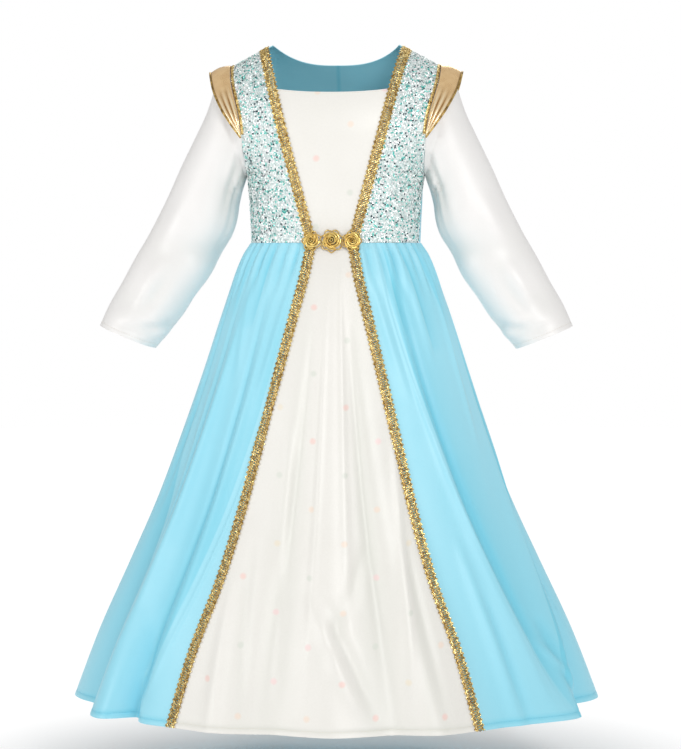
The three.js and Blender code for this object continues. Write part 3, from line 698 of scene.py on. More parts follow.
def make_weave():
    tree, given, result = new_group(
        "Satin weave",
        [("Coordinates", "Vector", None), ("Threads", "Float", 1500.0), ("Slub", "Float", 0.4)],
        [("Height", "Float")],
    )
    place = node(tree, "ShaderNodeSeparateXYZ", {"Vector": given["Coordinates"]}).outputs
    turns = maths(tree, "MULTIPLY", given["Threads"], 2 * np.pi)
    warp = maths(tree, "SINE", maths(tree, "MULTIPLY", place["X"], turns))
    weft_turns = maths(tree, "MULTIPLY", turns, WEFT_SHARE)
    weft = maths(tree, "SINE", maths(tree, "MULTIPLY", place["Y"], weft_turns))
    slub = maths(tree, "MULTIPLY", noise(tree, given["Coordinates"], SLUB_SCALE), given["Slub"])
    threads = maths(tree, "MULTIPLY_ADD", maths(tree, "MULTIPLY", warp, weft), 0.5, 0.5)
    feed(tree, result["Height"], maths(tree, "ADD", threads, slub))
    return tree


def make_dye():
    tree, given, result = new_group(
        "Uneven dye",
        [
            ("Coordinates", "Vector", None),
            ("Light", "Color", WHITE),
            ("Deep", "Color", WHITE),
            ("Patches", "Float", 9.0),
        ],
        [("Color", "Color")],
    )
    wide = noise(tree, given["Coordinates"], given["Patches"], DYE_DETAIL)
    fine = noise(tree, given["Coordinates"], maths(tree, "MULTIPLY", given["Patches"], DYE_FINER))
    wide_part = maths(tree, "MULTIPLY", wide, 1 - DYE_FINE_SHARE)
    share = remap(tree, maths(tree, "MULTIPLY_ADD", fine, DYE_FINE_SHARE, wide_part), *DYE_SPREAD)
    feed(tree, result["Color"], blend_colours(tree, share, given["Light"], given["Deep"]))
    return tree


def make_pile():
    tree, given, result = new_group(
        "Brushed pile",
        [("Coordinates", "Vector", None), ("Hairs", "Float", 1400.0), ("Brushing", "Float", 22.0)],
        [("Height", "Float"), ("Laid", "Float")],
    )
    drawn = node(tree, "ShaderNodeMapping", {"Vector": given["Coordinates"], "Scale": PILE_STRETCH})
    hairs = noise(tree, drawn.outputs[0], given["Hairs"])
    strokes = noise(tree, drawn.outputs[0], given["Brushing"], STROKE_DETAIL)
    feed(tree, result["Height"], maths(tree, "MULTIPLY_ADD", strokes, STROKE_HEIGHT, hairs))
    feed(tree, result["Laid"], remap(tree, strokes, *STROKE_SPREAD))
    return tree


weave_group, dye_group, pile_group = make_weave(), make_dye(), make_pile()
print("groups:", weave_group.name, dye_group.name, pile_group.name)

# %% [markdown]
# The satin is printed with small pastel spots. Printers repeat them on a half-drop: every second column is
# shifted by half a repeat. Counting columns and repeats gives each spot a whole number of its own, which
# picks its colour, so no image is needed. Metal thread is a bright strip wound round a core, so its shine
# comes and goes along it; that coming and going is painted into its colour as glints, from dark to bright,
# and its roughness follows the same mask.
# %% Spots and metal thread
SPOT_COLUMN = 0.042
SPOT_REPEAT = 0.084
SPOT_RADIUS = 0.0051
SPOT_CORE = 0.45
SPOT_STRENGTH = 0.55
GLINT_SCALE = 0.35
GLINT_SPREAD = (0.36, 0.64)
SPOT_COLOURS = [
    (0.92, 0.56, 0.50, 1),
    (0.90, 0.70, 0.56, 1),
    (0.66, 0.70, 0.62, 1),
    (0.92, 0.62, 0.62, 1),
    (0.70, 0.72, 0.78, 1),
    (0.84, 0.74, 0.56, 1),
]


def make_spots():
    tree, given, result = new_group(
        "Half-drop spots",
        [("Coordinates", "Vector", None), ("Radius", "Float", SPOT_RADIUS)],
        [("Color", "Color"), ("Mask", "Float")],
    )
    place = node(tree, "ShaderNodeSeparateXYZ", {"Vector": given["Coordinates"]}).outputs
    columns = maths(tree, "DIVIDE", place["X"], SPOT_COLUMN)
    column = maths(tree, "FLOOR", columns)
    drop = maths(tree, "MULTIPLY", maths(tree, "FLOORED_MODULO", column, 2.0), 0.5)
    repeats = maths(tree, "ADD", maths(tree, "DIVIDE", place["Y"], SPOT_REPEAT), drop)
    repeat = maths(tree, "FLOOR", repeats)
    x = maths(tree, "MULTIPLY", maths(tree, "SUBTRACT", maths(tree, "FRACT", columns), 0.5), SPOT_COLUMN)
    y = maths(tree, "MULTIPLY", maths(tree, "SUBTRACT", maths(tree, "FRACT", repeats), 0.5), SPOT_REPEAT)
    away = maths(tree, "SQRT", maths(tree, "ADD", maths(tree, "POWER", x, 2.0), maths(tree, "POWER", y, 2.0)))
    core = maths(tree, "MULTIPLY", given["Radius"], SPOT_CORE)
    feed(tree, result["Mask"], remap(tree, away, given["Radius"], core))
    cell = node(tree, "ShaderNodeCombineXYZ", {"X": column, "Y": repeat}).outputs[0]
    pick = node(tree, "ShaderNodeTexWhiteNoise", {"Vector": cell}).outputs["Value"]
    stops = [(number / len(SPOT_COLOURS), colour) for number, colour in enumerate(SPOT_COLOURS)]
    feed(tree, result["Color"], steps_of_colour(tree, pick, stops))
    return tree


def make_metal_thread():
    tree, given, result = new_group(
        "Metal thread",
        [("Coordinates", "Vector", None), ("Windings", "Float", 700.0)],
        [("Height", "Float"), ("Glint", "Float")],
    )
    inputs = {"Vector": given["Coordinates"], "Scale": given["Windings"]}
    feed(tree, result["Height"], node(tree, "ShaderNodeTexVoronoi", inputs).outputs["Distance"])
    broad = noise(tree, given["Coordinates"], maths(tree, "MULTIPLY", given["Windings"], GLINT_SCALE))
    feed(tree, result["Glint"], remap(tree, broad, *GLINT_SPREAD))
    return tree


spots_group, thread_group = make_spots(), make_metal_thread()
print("spot colours:", len(SPOT_COLOURS))

# %% [markdown]
# ## Finishes
# Satin has long floating threads, so it is smooth with a soft highlight. Velour has an upright pile that
# glows where it is seen edge on, which is a strong sheen on a matt base. Lamé and braid are metal strips, so
# they are metallic with a rough, uneven shine, helped by painted glints in their colour. The reverse of each
# cloth is duller.
# %% Material helpers


def new_finish(name, **constants):
    finish = bpy.data.materials.new(name)
    finish.use_nodes = True
    tree = finish.node_tree
    tree.nodes.clear()
    shader = tree.nodes.new("ShaderNodeBsdfPrincipled")
    output = tree.nodes.new("ShaderNodeOutputMaterial")
    tree.links.new(shader.outputs[0], output.inputs["Surface"])
    for socket, value in constants.items():
        shader.inputs[socket.replace("_", " ")].default_value = value
    return finish, tree, shader


def use_group(tree, group, **given):
    made = node(tree, "ShaderNodeGroup", node_tree=group)
    for title, value in given.items():
        feed(tree, made.inputs[title], value)
    return made.outputs


def coordinates(tree, kind="UV"):
    return node(tree, "ShaderNodeTexCoord").outputs[kind]


def dyed(tree, place, light, deep, patches=9.0):
    given = {"Coordinates": place, "Light": light, "Deep": deep, "Patches": patches}
    return use_group(tree, dye_group, **given)["Color"]


def complete(tree, shader, colour, value, rough, height=None, relief=0.0):
    """Give a finish its colour, a roughness that follows a value, and bumps where it has them."""
    feed(tree, shader.inputs["Base Color"], colour)
    feed(tree, shader.inputs["Roughness"], remap(tree, value, 0, 1, *rough))
    if height is not None:
        inputs = {"Height": height, "Distance": relief}
        feed(tree, shader.inputs["Normal"], node(tree, "ShaderNodeBump", inputs).outputs[0])


print("material helpers are ready")

# %% Cloth finishes
SATIN_PATCHES = 30.0
SATIN_ROUGH = (0.27, 0.40)
WEAVE_RELIEF = 0.00004
VELOUR_ROUGH = (0.36, 0.46)
PILE_RELIEF = 0.00012
SHEEN_TINT = (0.72, 0.93, 1.0, 1)
BRUSHED_SHARE = 0.5


def with_painted_shade(tree, colour, shadow):
    return blend_colours(tree, attribute(tree, "painted_shade"), colour, shadow)


def satin(name, light, deep, shadow, spotted):
    finish, tree, shader = new_finish(name, Sheen_Weight=0.12, Sheen_Roughness=0.4)
    place = coordinates(tree)
    colour = with_painted_shade(tree, dyed(tree, place, light, deep), shadow)
    if spotted:
        spots = use_group(tree, spots_group, Coordinates=place)
        share = maths(tree, "MULTIPLY", spots["Mask"], SPOT_STRENGTH)
        colour = blend_colours(tree, share, colour, spots["Color"])
    weave = use_group(tree, weave_group, Coordinates=place)["Height"]
    complete(tree, shader, colour, noise(tree, place, SATIN_PATCHES), SATIN_ROUGH, weave, WEAVE_RELIEF)
    return finish


def velour(name, light, deep, shadow, sheen):
    finish, tree, shader = new_finish(name, Sheen_Weight=sheen, Sheen_Roughness=0.35, Sheen_Tint=SHEEN_TINT)
    place = coordinates(tree, "Object")
    pile = use_group(tree, pile_group, Coordinates=place)
    brushed = blend_colours(tree, maths(tree, "MULTIPLY", pile["Laid"], BRUSHED_SHARE), light, deep)
    colour = with_painted_shade(tree, dyed(tree, place, light, brushed), shadow)
    complete(tree, shader, colour, pile["Laid"], VELOUR_ROUGH, pile["Height"], PILE_RELIEF)
    return finish


# The SHADOW colours are painted shade, mixed in where a point's painted shade number says; the velour reverse
# takes BLUE_DEEP and BLUE_SHADOW as its colours, so it is darker.
IVORY = (0.855, 0.838, 0.792, 1)
IVORY_DEEP = (0.822, 0.804, 0.755, 1)
IVORY_SHADOW = (0.71, 0.715, 0.655, 1)
SLEEVE_WHITE = (0.875, 0.86, 0.845, 1)
SLEEVE_DEEP = (0.85, 0.835, 0.815, 1)
SLEEVE_SHADOW = (0.79, 0.785, 0.76, 1)
BLUE = (0.375, 0.76, 0.89, 1)
BLUE_DEEP = (0.315, 0.72, 0.86, 1)
BLUE_SHADOW = (0.20, 0.64, 0.80, 1)
spotted_satin = satin("spotted_ivory_satin", IVORY, IVORY_DEEP, IVORY_SHADOW, True)
satin_reverse = satin("satin_reverse", IVORY, IVORY_DEEP, IVORY_SHADOW, False)
sleeve_satin = satin("plain_sleeve_satin", SLEEVE_WHITE, SLEEVE_DEEP, SLEEVE_SHADOW, False)
blue_velour = velour("blue_velour", BLUE, BLUE_DEEP, BLUE_SHADOW, 0.15)
blue_reverse = velour("velour_reverse", BLUE_DEEP, BLUE_SHADOW, BLUE_SHADOW, 0.05)
print("cloth finishes:", spotted_satin.name, sleeve_satin.name, blue_velour.name)

# %% Gold and sequin finishes
SEQUIN_TONES_AND_FLASHES = [
    # share from which a sequin takes this colour, and the colour: two silvery tones of its own, then painted
    # reflections as flashes of white, rose, teal, deep teal and near black
    (0.00, (0.78, 0.89, 0.875, 1)),
    (0.29, (0.87, 0.945, 0.925, 1)),
    (0.54, (1.00, 1.00, 0.99, 1)),
    (0.80, (0.92, 0.85, 0.89, 1)),
    (0.83, (0.20, 0.70, 0.61, 1)),
    (0.90, (0.04, 0.42, 0.38, 1)),
    (0.945, (0.02, 0.04, 0.06, 1)),
]
SEQUIN_PATCHES = 900.0
SEQUIN_ROUGH = (0.12, 0.3)
GROUND_LIGHT = (0.64, 0.78, 0.77, 1)
GROUND_DEEP = (0.54, 0.71, 0.71, 1)
GROUND_PATCHES = 400.0
GROUND_ROUGH = (0.45, 0.65)
GROUND_RELIEF = 0.0001
GOLD_SHADOW = (0.10, 0.05, 0.01, 1)
GOLD_PAINTED_HIGHLIGHT = (1.0, 0.88, 0.62, 1)
DULLER = 0.12


def gold(name, bright, dark, metal, rough, windings, relief):
    finish, tree, shader = new_finish(name, Metallic=metal)
    place = coordinates(tree, "Object")
    thread = use_group(tree, thread_group, Coordinates=place, Windings=windings)
    # Painted glints: the colour runs from dark to bright along the glint mask; painted highlights and painted
    # shade are mixed in where a piece carries them.
    painted_glints = blend_colours(tree, thread["Glint"], dark, bright)
    colour = with_painted_shade(tree, blend_colours(tree, attribute(tree, "painted_highlight"), painted_glints, GOLD_PAINTED_HIGHLIGHT), GOLD_SHADOW)
    complete(tree, shader, colour, thread["Glint"], (rough + DULLER, rough), thread["Height"], relief)
    return finish


def sequin_finish():
    finish, tree, shader = new_finish("sequins", Metallic=0.25, Coat_Weight=0.3)
    colour = steps_of_colour(tree, attribute(tree, "tone_and_flash"), SEQUIN_TONES_AND_FLASHES)
    complete(tree, shader, colour, noise(tree, coordinates(tree, "Object"), SEQUIN_PATCHES), SEQUIN_ROUGH)
    return finish


def sequin_ground():
    finish, tree, shader = new_finish("sequin_ground", Sheen_Weight=0.3)
    place = coordinates(tree)
    colour = dyed(tree, place, GROUND_LIGHT, GROUND_DEEP)
    weave = use_group(tree, weave_group, Coordinates=place)["Height"]
    complete(tree, shader, colour, noise(tree, place, GROUND_PATCHES), GROUND_ROUGH, weave, GROUND_RELIEF)
    return finish


GOLDS = {
    # bright and dark colours of the painted glints, how metallic, roughness, windings in a metre, relief
    "braid_gold": ((1.0, 0.79, 0.34, 1), (0.34, 0.18, 0.03, 1), 0.85, 0.24, 900.0, 0.0002),
    "braid_net": ((0.62, 0.45, 0.16, 1), (0.16, 0.10, 0.03, 1), 0.7, 0.40, 900.0, 0.0002),
    "gold_lame": ((0.90, 0.63, 0.33, 1), (0.80, 0.54, 0.27, 1), 0.55, 0.18, 260.0, 0.00003),
    "rolled_gold": ((0.72, 0.50, 0.17, 1), (0.24, 0.14, 0.03, 1), 0.7, 0.28, 420.0, 0.0002),
    "ribbon_gold": ((1.0, 0.75, 0.24, 1), (0.77, 0.48, 0.11, 1), 0.6, 0.26, 260.0, 0.00006),
}
braid_gold, braid_net, lame_gold, rolled_gold, ribbon_gold = (gold(name, *row) for name, row in GOLDS.items())
sequin_gloss, sequin_cloth = sequin_finish(), sequin_ground()
print("gold finishes:", braid_gold.name, lame_gold.name, ribbon_gold.name)

# %% [markdown]
# ## Floor and light
# A product photograph on white has no visible horizon. The floor is a pale disc that catches a soft
# shadow under the hem; farther out it glows more and more, until it is as white as the surround. The
# surround gives even light. A key lamp and a weaker fill lamp in front draw the highlights on the
# satin, and a third lamp lights the back.
# %% Floor
FLOOR_Z = -0.93
FLOOR_RADIUS = 6.0
FLOOR_SHADED = 0.28
FLOOR_WHITE = 0.62
FLOOR_SIDES = 96
FLOOR_LIGHT = (0.90, 0.90, 0.90, 1)
FLOOR_DEEP = (0.88, 0.88, 0.88, 1)
BLACK = (0, 0, 0, 1)


def floor_finish():
    finish, tree, shader = new_finish("pale_floor", Roughness=0.9, Emission_Strength=1.0)
    place = coordinates(tree, "Object")
    away = node(tree, "ShaderNodeVectorMath", {0: place}, operation="LENGTH").outputs["Value"]
    share = remap(tree, away, FLOOR_SHADED, FLOOR_WHITE, interpolation_type="SMOOTHSTEP")
    ground = dyed(tree, place, FLOOR_LIGHT, FLOOR_DEEP)
    # Painted light: beyond FLOOR_SHADED the floor glows by its own emission, fully white from FLOOR_WHITE
    # outwards; nearer in it is a pale floor that takes real shadow.
    feed(tree, shader.inputs["Base Color"], blend_colours(tree, share, ground, BLACK))
    feed(tree, shader.inputs["Emission Color"], blend_colours(tree, share, BLACK, WHITE))
    return finish


def make_floor():
    around = np.linspace(0, 2 * np.pi, FLOOR_SIDES, endpoint=False)
    ring = FLOOR_RADIUS * np.stack([np.cos(around), np.sin(around), 0 * around], axis=-1)
    data = bpy.data.meshes.new("studio_floor")
    data.from_pydata(ring.tolist(), [], [list(range(FLOOR_SIDES))])
    data.materials.append(floor_finish())
    floor = add_object("studio_floor", data)
    floor.location.z = FLOOR_Z


make_floor()
print("floor at", FLOOR_Z)

# %% Lamps and surround
SURROUND_LIGHT = 0.54
SURROUND_SEEN = 1.0
LAMPS = [
    # name, place, size, power
    ("key_lamp", (1.2, -2.7, 0.9), 1.0, 31),
    ("fill_lamp", (-2.2, -2.0, 0.3), 1.0, 16.5),
    ("back_lamp", (0.3, 2.6, 1.8), 2.0, 26),
]


def make_lamp(name, place, size, power):
    data = bpy.data.lights.new(name, "AREA")
    data.shape = "DISK"
    data.size = size
    data.energy = power
    lamp = add_object(name, data)
    lamp.location = place
    aim_at(lamp, Vector((0, 0, cad_box[0][2] / 2)))
    return lamp


def make_surround():
    world = bpy.data.worlds.new("studio_surround")
    world.use_nodes = True
    tree = world.node_tree
    seen = node(tree, "ShaderNodeLightPath").outputs["Is Camera Ray"]
    backdrop = tree.nodes["Background"]
    backdrop.inputs["Color"].default_value = WHITE
    feed(tree, backdrop.inputs["Strength"], remap(tree, seen, 0, 1, SURROUND_LIGHT, SURROUND_SEEN))
    bpy.context.scene.world = world


make_surround()
lamps = [make_lamp(*lamp) for lamp in LAMPS]
bpy.context.scene.view_settings.view_transform = "Standard"
print("lamps:", len(lamps))

# %% [markdown]
# ## The bodice panels
# The front is cut as an ivory insert that narrows to the waist, between two panels of sequin fabric.
# Two blue panels meet at the middle of the back, where a thin line of painted shade marks the closing. Each
# panel is its range of the bodice surface. The few soft pulls come from the armhole and the waist.
# %% Bodice panels
BODICE_CREASES = named_table(
    "top_degrees low_degrees top low half_angle rise",
    [
        (62, 40, -0.120, -0.200, 4.0, -0.0012),
        (70, 58, -0.150, -0.230, 4.0, 0.0012),
        (-62, -42, -0.118, -0.195, 4.0, -0.0012),
        (-70, -56, -0.150, -0.232, 4.0, 0.0012),
        (4, 6, -0.190, -0.260, 2.5, 0.0010),
        (-5, -7, -0.185, -0.260, 2.5, -0.0010),
        (110, 122, -0.130, -0.240, 5.0, 0.0014),
        (138, 134, -0.170, -0.260, 4.0, -0.0012),
        (-112, -120, -0.130, -0.240, 5.0, 0.0014),
        (-140, -136, -0.170, -0.260, 4.0, -0.0012),
    ],
)
INSERT_SCOOP = 0.005
SCOOP_POWER = 4
CLOSED_GAP = 0.00003
LOW_EDGE = WAIST_Z + SEAM_GAP / 2
LEVEL_POWER = 1.35
BODICE_ROWS = 90
INSERT_ROWS = 60
BACK_COLUMNS = 56
FRONT_COLUMNS = 44


def even_levels(top, rows):
    """Levels from the waist up, closer together where the cloth turns over the shoulder."""
    share = np.linspace(0, 1, rows)
    return mix(LOW_EDGE, top, 1 - (1 - share) ** LEVEL_POWER)


def panel(levels, edges, columns, level_at=None):
    """The outer points of a panel: edges gives its first and last angle at each level."""
    first, last = edges(levels)
    angle = mix(first[:, None], last[:, None], np.linspace(0, 1, columns))
    level = np.broadcast_to(levels[:, None], angle.shape)
    if level_at is not None:
        level = level_at(angle, level)
    return moved_out(bodice_point, angle, level, crease_rise(BODICE_CREASES, angle, level))


def side_edges(levels):
    seam = front_seam(levels)
    gap = angle_of(bodice_point, seam, levels, SEAM_GAP / 2)
    outer = np.where(levels < ARMPIT_Z, side_seam(levels) - gap, armhole(levels))
    return seam + gap, outer


def back_edges(levels):
    inner = np.where(levels < ARMPIT_Z, side_seam(levels), np.pi - armhole(levels))
    gap = np.where(levels <= ARMPIT_Z, angle_of(bodice_point, inner, levels, SEAM_GAP / 2), 0)
    middle = CLOSED_GAP / 2 / column_at(BODICE_SECTIONS, "half_width", levels)
    return inner + gap, np.pi - np.arcsin(middle ** (1 / SECTION_POWER))


def insert_edges(levels):
    seam = front_seam(levels)
    edge = seam - angle_of(bodice_point, seam, levels, SEAM_GAP / 2)
    return -edge, edge


def on_side(side, edges):
    """The edges of a panel as they are on the left, or mirrored for the right."""

    def placed(levels):
        first, last = edges(levels)
        return (first, last) if side > 0 else (-last, -first)

    return placed


def insert_level(angle, level):
    near = (level - WAIST_Z) / (NECKLINE_Z - WAIST_Z)
    return level - INSERT_SCOOP * near**SCOOP_POWER * (1 - (angle / np.abs(angle[:, -1:])) ** 2)


def back_level(angle, level):
    return mix(WAIST_Z, back_top(angle), 1 - level / WAIST_Z)


grids, painted_shades = {}, {}
full_levels = even_levels(RIDGE_LEVEL, BODICE_ROWS)
# Painted shade: the column at the middle of the back takes the full shadow colour, a thin dark line at the
# closing.
closing = np.zeros((BODICE_ROWS, BACK_COLUMNS))
closing[:, -1] = 1
insert_levels = even_levels(NECKLINE_Z, INSERT_ROWS)
grids["bodice_insert"] = panel(insert_levels, insert_edges, FRONT_COLUMNS, insert_level)
for suffix, side in SIDES.items():
    back = "bodice_back_" + suffix
    grids["bodice_side_" + suffix] = panel(full_levels, on_side(side, side_edges), FRONT_COLUMNS)
    grids[back] = panel(full_levels, on_side(side, back_edges), BACK_COLUMNS, back_level)
    painted_shades[back] = closing[:, ::side]
print("bodice panels:", len(grids))

# %% [markdown]
# ## The skirt panels
# Four panels hang from the waist: the spotted front, two sides and one wide back. Their tops are drawn up in
# gathers, and the hem is turned in once and stitched, which leaves a slight groove. The rows of points lie
# closer together at the gathers and at the hem. A number at each point says how much painted shade it gets,
# most where it lies deep in a fold, beside fold edges and just above the hem, and the finish mixes in its
# shadow colour by that number.
# %% Skirt panels
SKIRT_ROWS = 118
HEM_ROWS = np.array([0, 0.002, 0.004, 0.0055, 0.0065, 0.0075, 0.009, 0.012])
HEM_TURNED = 0.016
HEM_GROOVE = 0.0005
HEM_GROOVE_HALF = 0.0012
ROWS_POWER = 0.92
FOLD_DEEP = 0.022
CREASE_DEEP = 0.005
WIDE_SHADE = 0.3
FINE_SHADE = 0.4
GATHER_SHADE = 0.55
HEM_SHADE = 0.5
HEM_SHADE_HALF = 0.003
GATHER_SHADE_POWER = 1.5
SHADE_TAPER = 0.6


def skirt_levels():
    share = np.linspace(0, 1, SKIRT_ROWS) ** ROWS_POWER
    body = mix(HEM_Z + HEM_TURNED, WAIST_Z - SEAM_GAP / 2, share)
    return np.concatenate([HEM_Z + HEM_ROWS, body])


def shade_beside(angle, z):
    """Painted shade that starts sharply at a fold's edge and fades away on one side of it."""
    shade = np.zeros(angle.shape)
    for at_waist, at_hem, side, soft, fade, top, low, strength in rows_of(SKIRT_SHADES):
        centre = mix(at_waist, at_hem, (WAIST_Z - z) / (WAIST_Z - HEM_Z))
        away = side * degrees_away(angle, centre)
        along = np.clip((top - z) / (top - low), 0, 1)
        grown = strength * np.sin(np.pi * along) ** SHADE_TAPER
        shade += grown * smooth(away, -soft, soft) * np.exp(-np.maximum(away, 0) / fade)
    return shade


def skirt_painted_shade(angle, z):
    """How much painted shade a point gets, from 0 to 1: more the deeper it lies in a fold, a crease or a
    gather, in a band just above the hem, and beside the edges of the shaded folds.
    """
    wide = np.clip(-folds_at(angle, z)[0] / FOLD_DEEP, 0, 1)
    fine = np.clip(-crease_rise(SKIRT_CREASES, angle, z) / CREASE_DEEP, 0, 1)
    gathered = np.clip(-gather_rise(angle, z) / GATHER_DEPTH, 0, 1) ** GATHER_SHADE_POWER
    hem = bump(z, HEM_STITCH_Z, HEM_SHADE_HALF)
    shade = WIDE_SHADE * wide + FINE_SHADE * fine + GATHER_SHADE * gathered + HEM_SHADE * hem
    return np.clip(shade + shade_beside(angle, z), 0, 1)


def skirt_panel(name, first_at, last_at, columns):
    levels = skirt_levels()
    first, last = first_at(levels), last_at(levels)
    first = first + angle_of(skirt_point, first, levels, SEAM_GAP / 2)
    last = last - angle_of(skirt_point, last, levels, SEAM_GAP / 2)
    angle = mix(first[:, None], last[:, None], np.linspace(0, 1, columns))
    z = np.broadcast_to(levels[:, None], angle.shape)
    groove = HEM_GROOVE * bump(z, HEM_STITCH_Z, HEM_GROOVE_HALF)
    grids[name] = moved_out(skirt_point, angle, z, -groove)
    painted_shades[name] = skirt_painted_shade(angle, z)


def constant(value):
    return lambda z: np.full_like(z, value)


SKIRT_PANELS = [
    # name, first edge, last edge, columns of points
    ("skirt_front", lambda z: -skirt_seam(z), skirt_seam, 96),
    ("skirt_side_left", skirt_seam, constant(QUARTER), 200),
    ("skirt_side_right", constant(-QUARTER), lambda z: -skirt_seam(z), 200),
    ("skirt_back", constant(QUARTER), constant(3 * QUARTER), 230),
]
for row in SKIRT_PANELS:
    skirt_panel(*row)
print("skirt rows:", len(skirt_levels()))

# %% [markdown]
# ## The sleeves
# A sleeve is a tube that starts on the armhole and hangs away from the body, so it is given by rings
# across the arm. The seam runs under the arm. Soft folds cross it where the arm bends, and small ones
# gather at the armpit, where a real sleeve head is always a little full.
# %% Sleeve rings and folds
SLEEVE_RINGS = named_table(
    "number outer_x outer_z inner_x inner_z half_depth middle_y",
    [
        (0, 0.151, -0.042, 0.1145, -0.166, 0.046, 0),
        (1, 0.163, -0.079, 0.119, -0.180, 0.047, 0),
        (2, 0.177, -0.109, 0.122, -0.197, 0.047, 0),
        (3, 0.197, -0.150, 0.125, -0.216, 0.047, -0.001),
        (4, 0.215, -0.190, 0.134, -0.245, 0.046, -0.002),
        (5, 0.236, -0.231, 0.148, -0.272, 0.045, -0.004),
        (6, 0.254, -0.262, 0.168, -0.303, 0.044, -0.007),
        (7, 0.270, -0.292, 0.187, -0.328, 0.042, -0.010),
        (8, 0.286, -0.320, 0.208, -0.354, 0.040, -0.013),
        (9, 0.299, -0.349, 0.228, -0.378, 0.038, -0.016),
    ],
)
SLEEVE_FOLDS = named_table(
    "ring around rings degrees rise",
    [
        (2.2, 150, 0.9, 34, -0.006),
        (4.6, 165, 0.8, 40, -0.007),
        (5.4, 70, 0.7, 40, -0.004),
        (6.3, 200, 0.7, 34, -0.005),
        (7.6, 60, 0.6, 36, -0.004),
        (3.4, 285, 0.9, 36, -0.005),
        (6.6, 300, 0.8, 36, -0.004),
        (0.6, 118, 1.5, 7, 0.0018),
        (0.9, 132, 1.6, 6, -0.0017),
        (1.2, 146, 1.5, 6, 0.0015),
        (1.0, 226, 1.5, 8, 0.0018),
        (0.8, 244, 1.5, 7, -0.0018),
        (3.6, 110, 0.5, 30, 0.0020),
        (1.6, 152, 1.3, 7, -0.0014),
        (2.0, 140, 1.4, 7, 0.0012),
        (1.8, 128, 1.5, 7, -0.0012),
        (2.9, 160, 1.0, 8, 0.0012),
        (3.2, 148, 1.0, 8, -0.0012),
        (1.5, 146, 0.22, 17, -0.0030),
        (1.9, 138, 0.20, 14, -0.0024),
        (4.9, 118, 0.45, 30, -0.0032),
        (5.3, 132, 0.4, 26, 0.0024),
        (4.3, 62, 0.8, 14, 0.0024),
        (6.9, 96, 0.9, 12, -0.0032),
        (6.6, 76, 0.9, 11, 0.0022),
        (7.9, 152, 0.24, 22, -0.0030),
        (8.25, 122, 0.22, 20, -0.0032),
        (8.6, 94, 0.2, 22, -0.0030),
        (8.25, 156, 0.24, 20, 0.0026),
        (7.9, 118, 0.22, 22, 0.0024),
    ],
)
print("sleeve rings:", len(SLEEVE_RINGS["number"]), "folds:", len(SLEEVE_FOLDS["rise"]))

# %% Sleeve surface
RIM_POINTS = 400
SHORT_STEP = 0.1


def make_rim():
    """The armhole edge in front and behind, with how far round the arm each point is."""
    level = np.linspace(RIDGE_LEVEL, ARMPIT_Z, RIM_POINTS)
    front = bodice_point(armhole(level), level)
    back = bodice_point(np.pi - armhole(level), level)
    middle = (front[0] + front[-1]) / 2
    half = (front[0, 2] - front[-1, 2]) / 2
    rim = {}
    for name, points in (("front", front), ("back", back)):
        around = np.arccos(np.clip((points[:, 2] - middle[2]) / half, -1, 1))
        inward = (middle - points) * (0, 1, 1)
        rim[name] = (around, points + SEAM_GAP * unit(inward) + (SEAM_GAP, 0, 0))
    return rim


def rim_point(around):
    turned = np.where(around > np.pi, 2 * np.pi - around, around)
    front, back = (points_between(turned, *rim[name]) for name in ("front", "back"))
    return np.where((around > np.pi)[..., None], back, front)


def sleeve_fold(around, number):
    fold = np.zeros(np.broadcast(around, number).shape)
    for ring, centre, rings, degrees, rise in rows_of(SLEEVE_FOLDS):
        fold += rise * bump(number, ring, rings) * bump(degrees_away(around, centre), 0, degrees)
    return fold


def ring_point(around, number):
    row = {name: column_at(SLEEVE_RINGS, name, number, "number") for name in list(SLEEVE_RINGS)[1:]}
    fold = sleeve_fold(around, number)
    across_x = (row["outer_x"] - row["inner_x"]) / 2
    across_z = (row["outer_z"] - row["inner_z"]) / 2
    half = np.hypot(across_x, across_z)
    reach = (half + fold) * np.cos(around) / half
    x = (row["outer_x"] + row["inner_x"]) / 2 + across_x * reach
    y = row["middle_y"] - (row["half_depth"] + fold) * np.sin(around)
    z = (row["outer_z"] + row["inner_z"]) / 2 + across_z * reach
    return np.stack([x, y, z], axis=-1)


def sleeve_point(around, number):
    """number is -1 on the armhole, 0 on the first ring and 9 at the cuff."""
    around, number = np.broadcast_arrays(np.asarray(around, float), np.asarray(number, float))
    share = np.clip(number + 1, 0, 1)[..., None]
    ring = ring_point(around, np.maximum(number, 0))
    first = ring_point(around, np.zeros_like(number))
    leaving = (ring_point(around, np.full_like(number, SHORT_STEP)) - first) / SHORT_STEP
    start = rim_point(around)
    joined = mix(start, first, share) + (share**3 - share**2) * (leaving - (first - start))
    return np.where((number < 0)[..., None], joined, ring)


print("sleeve surface is ready")

# %% Sleeve panels
SLEEVE_SEAM = np.radians(173)
SLEEVE_SLIT = 0.004
SLEEVE_COLUMNS = 112
SLEEVE_FOLD_DEEP = 0.008
CUFF_START = 8.7
CUFF_STITCH = 8.82
CUFF_GROOVE = 0.0004
CUFF_GROOVE_HALF = 0.03
CUFF_ROWS = 10
ARM_ROWS = 96
HEAD_ROWS = 14
rim = make_rim()


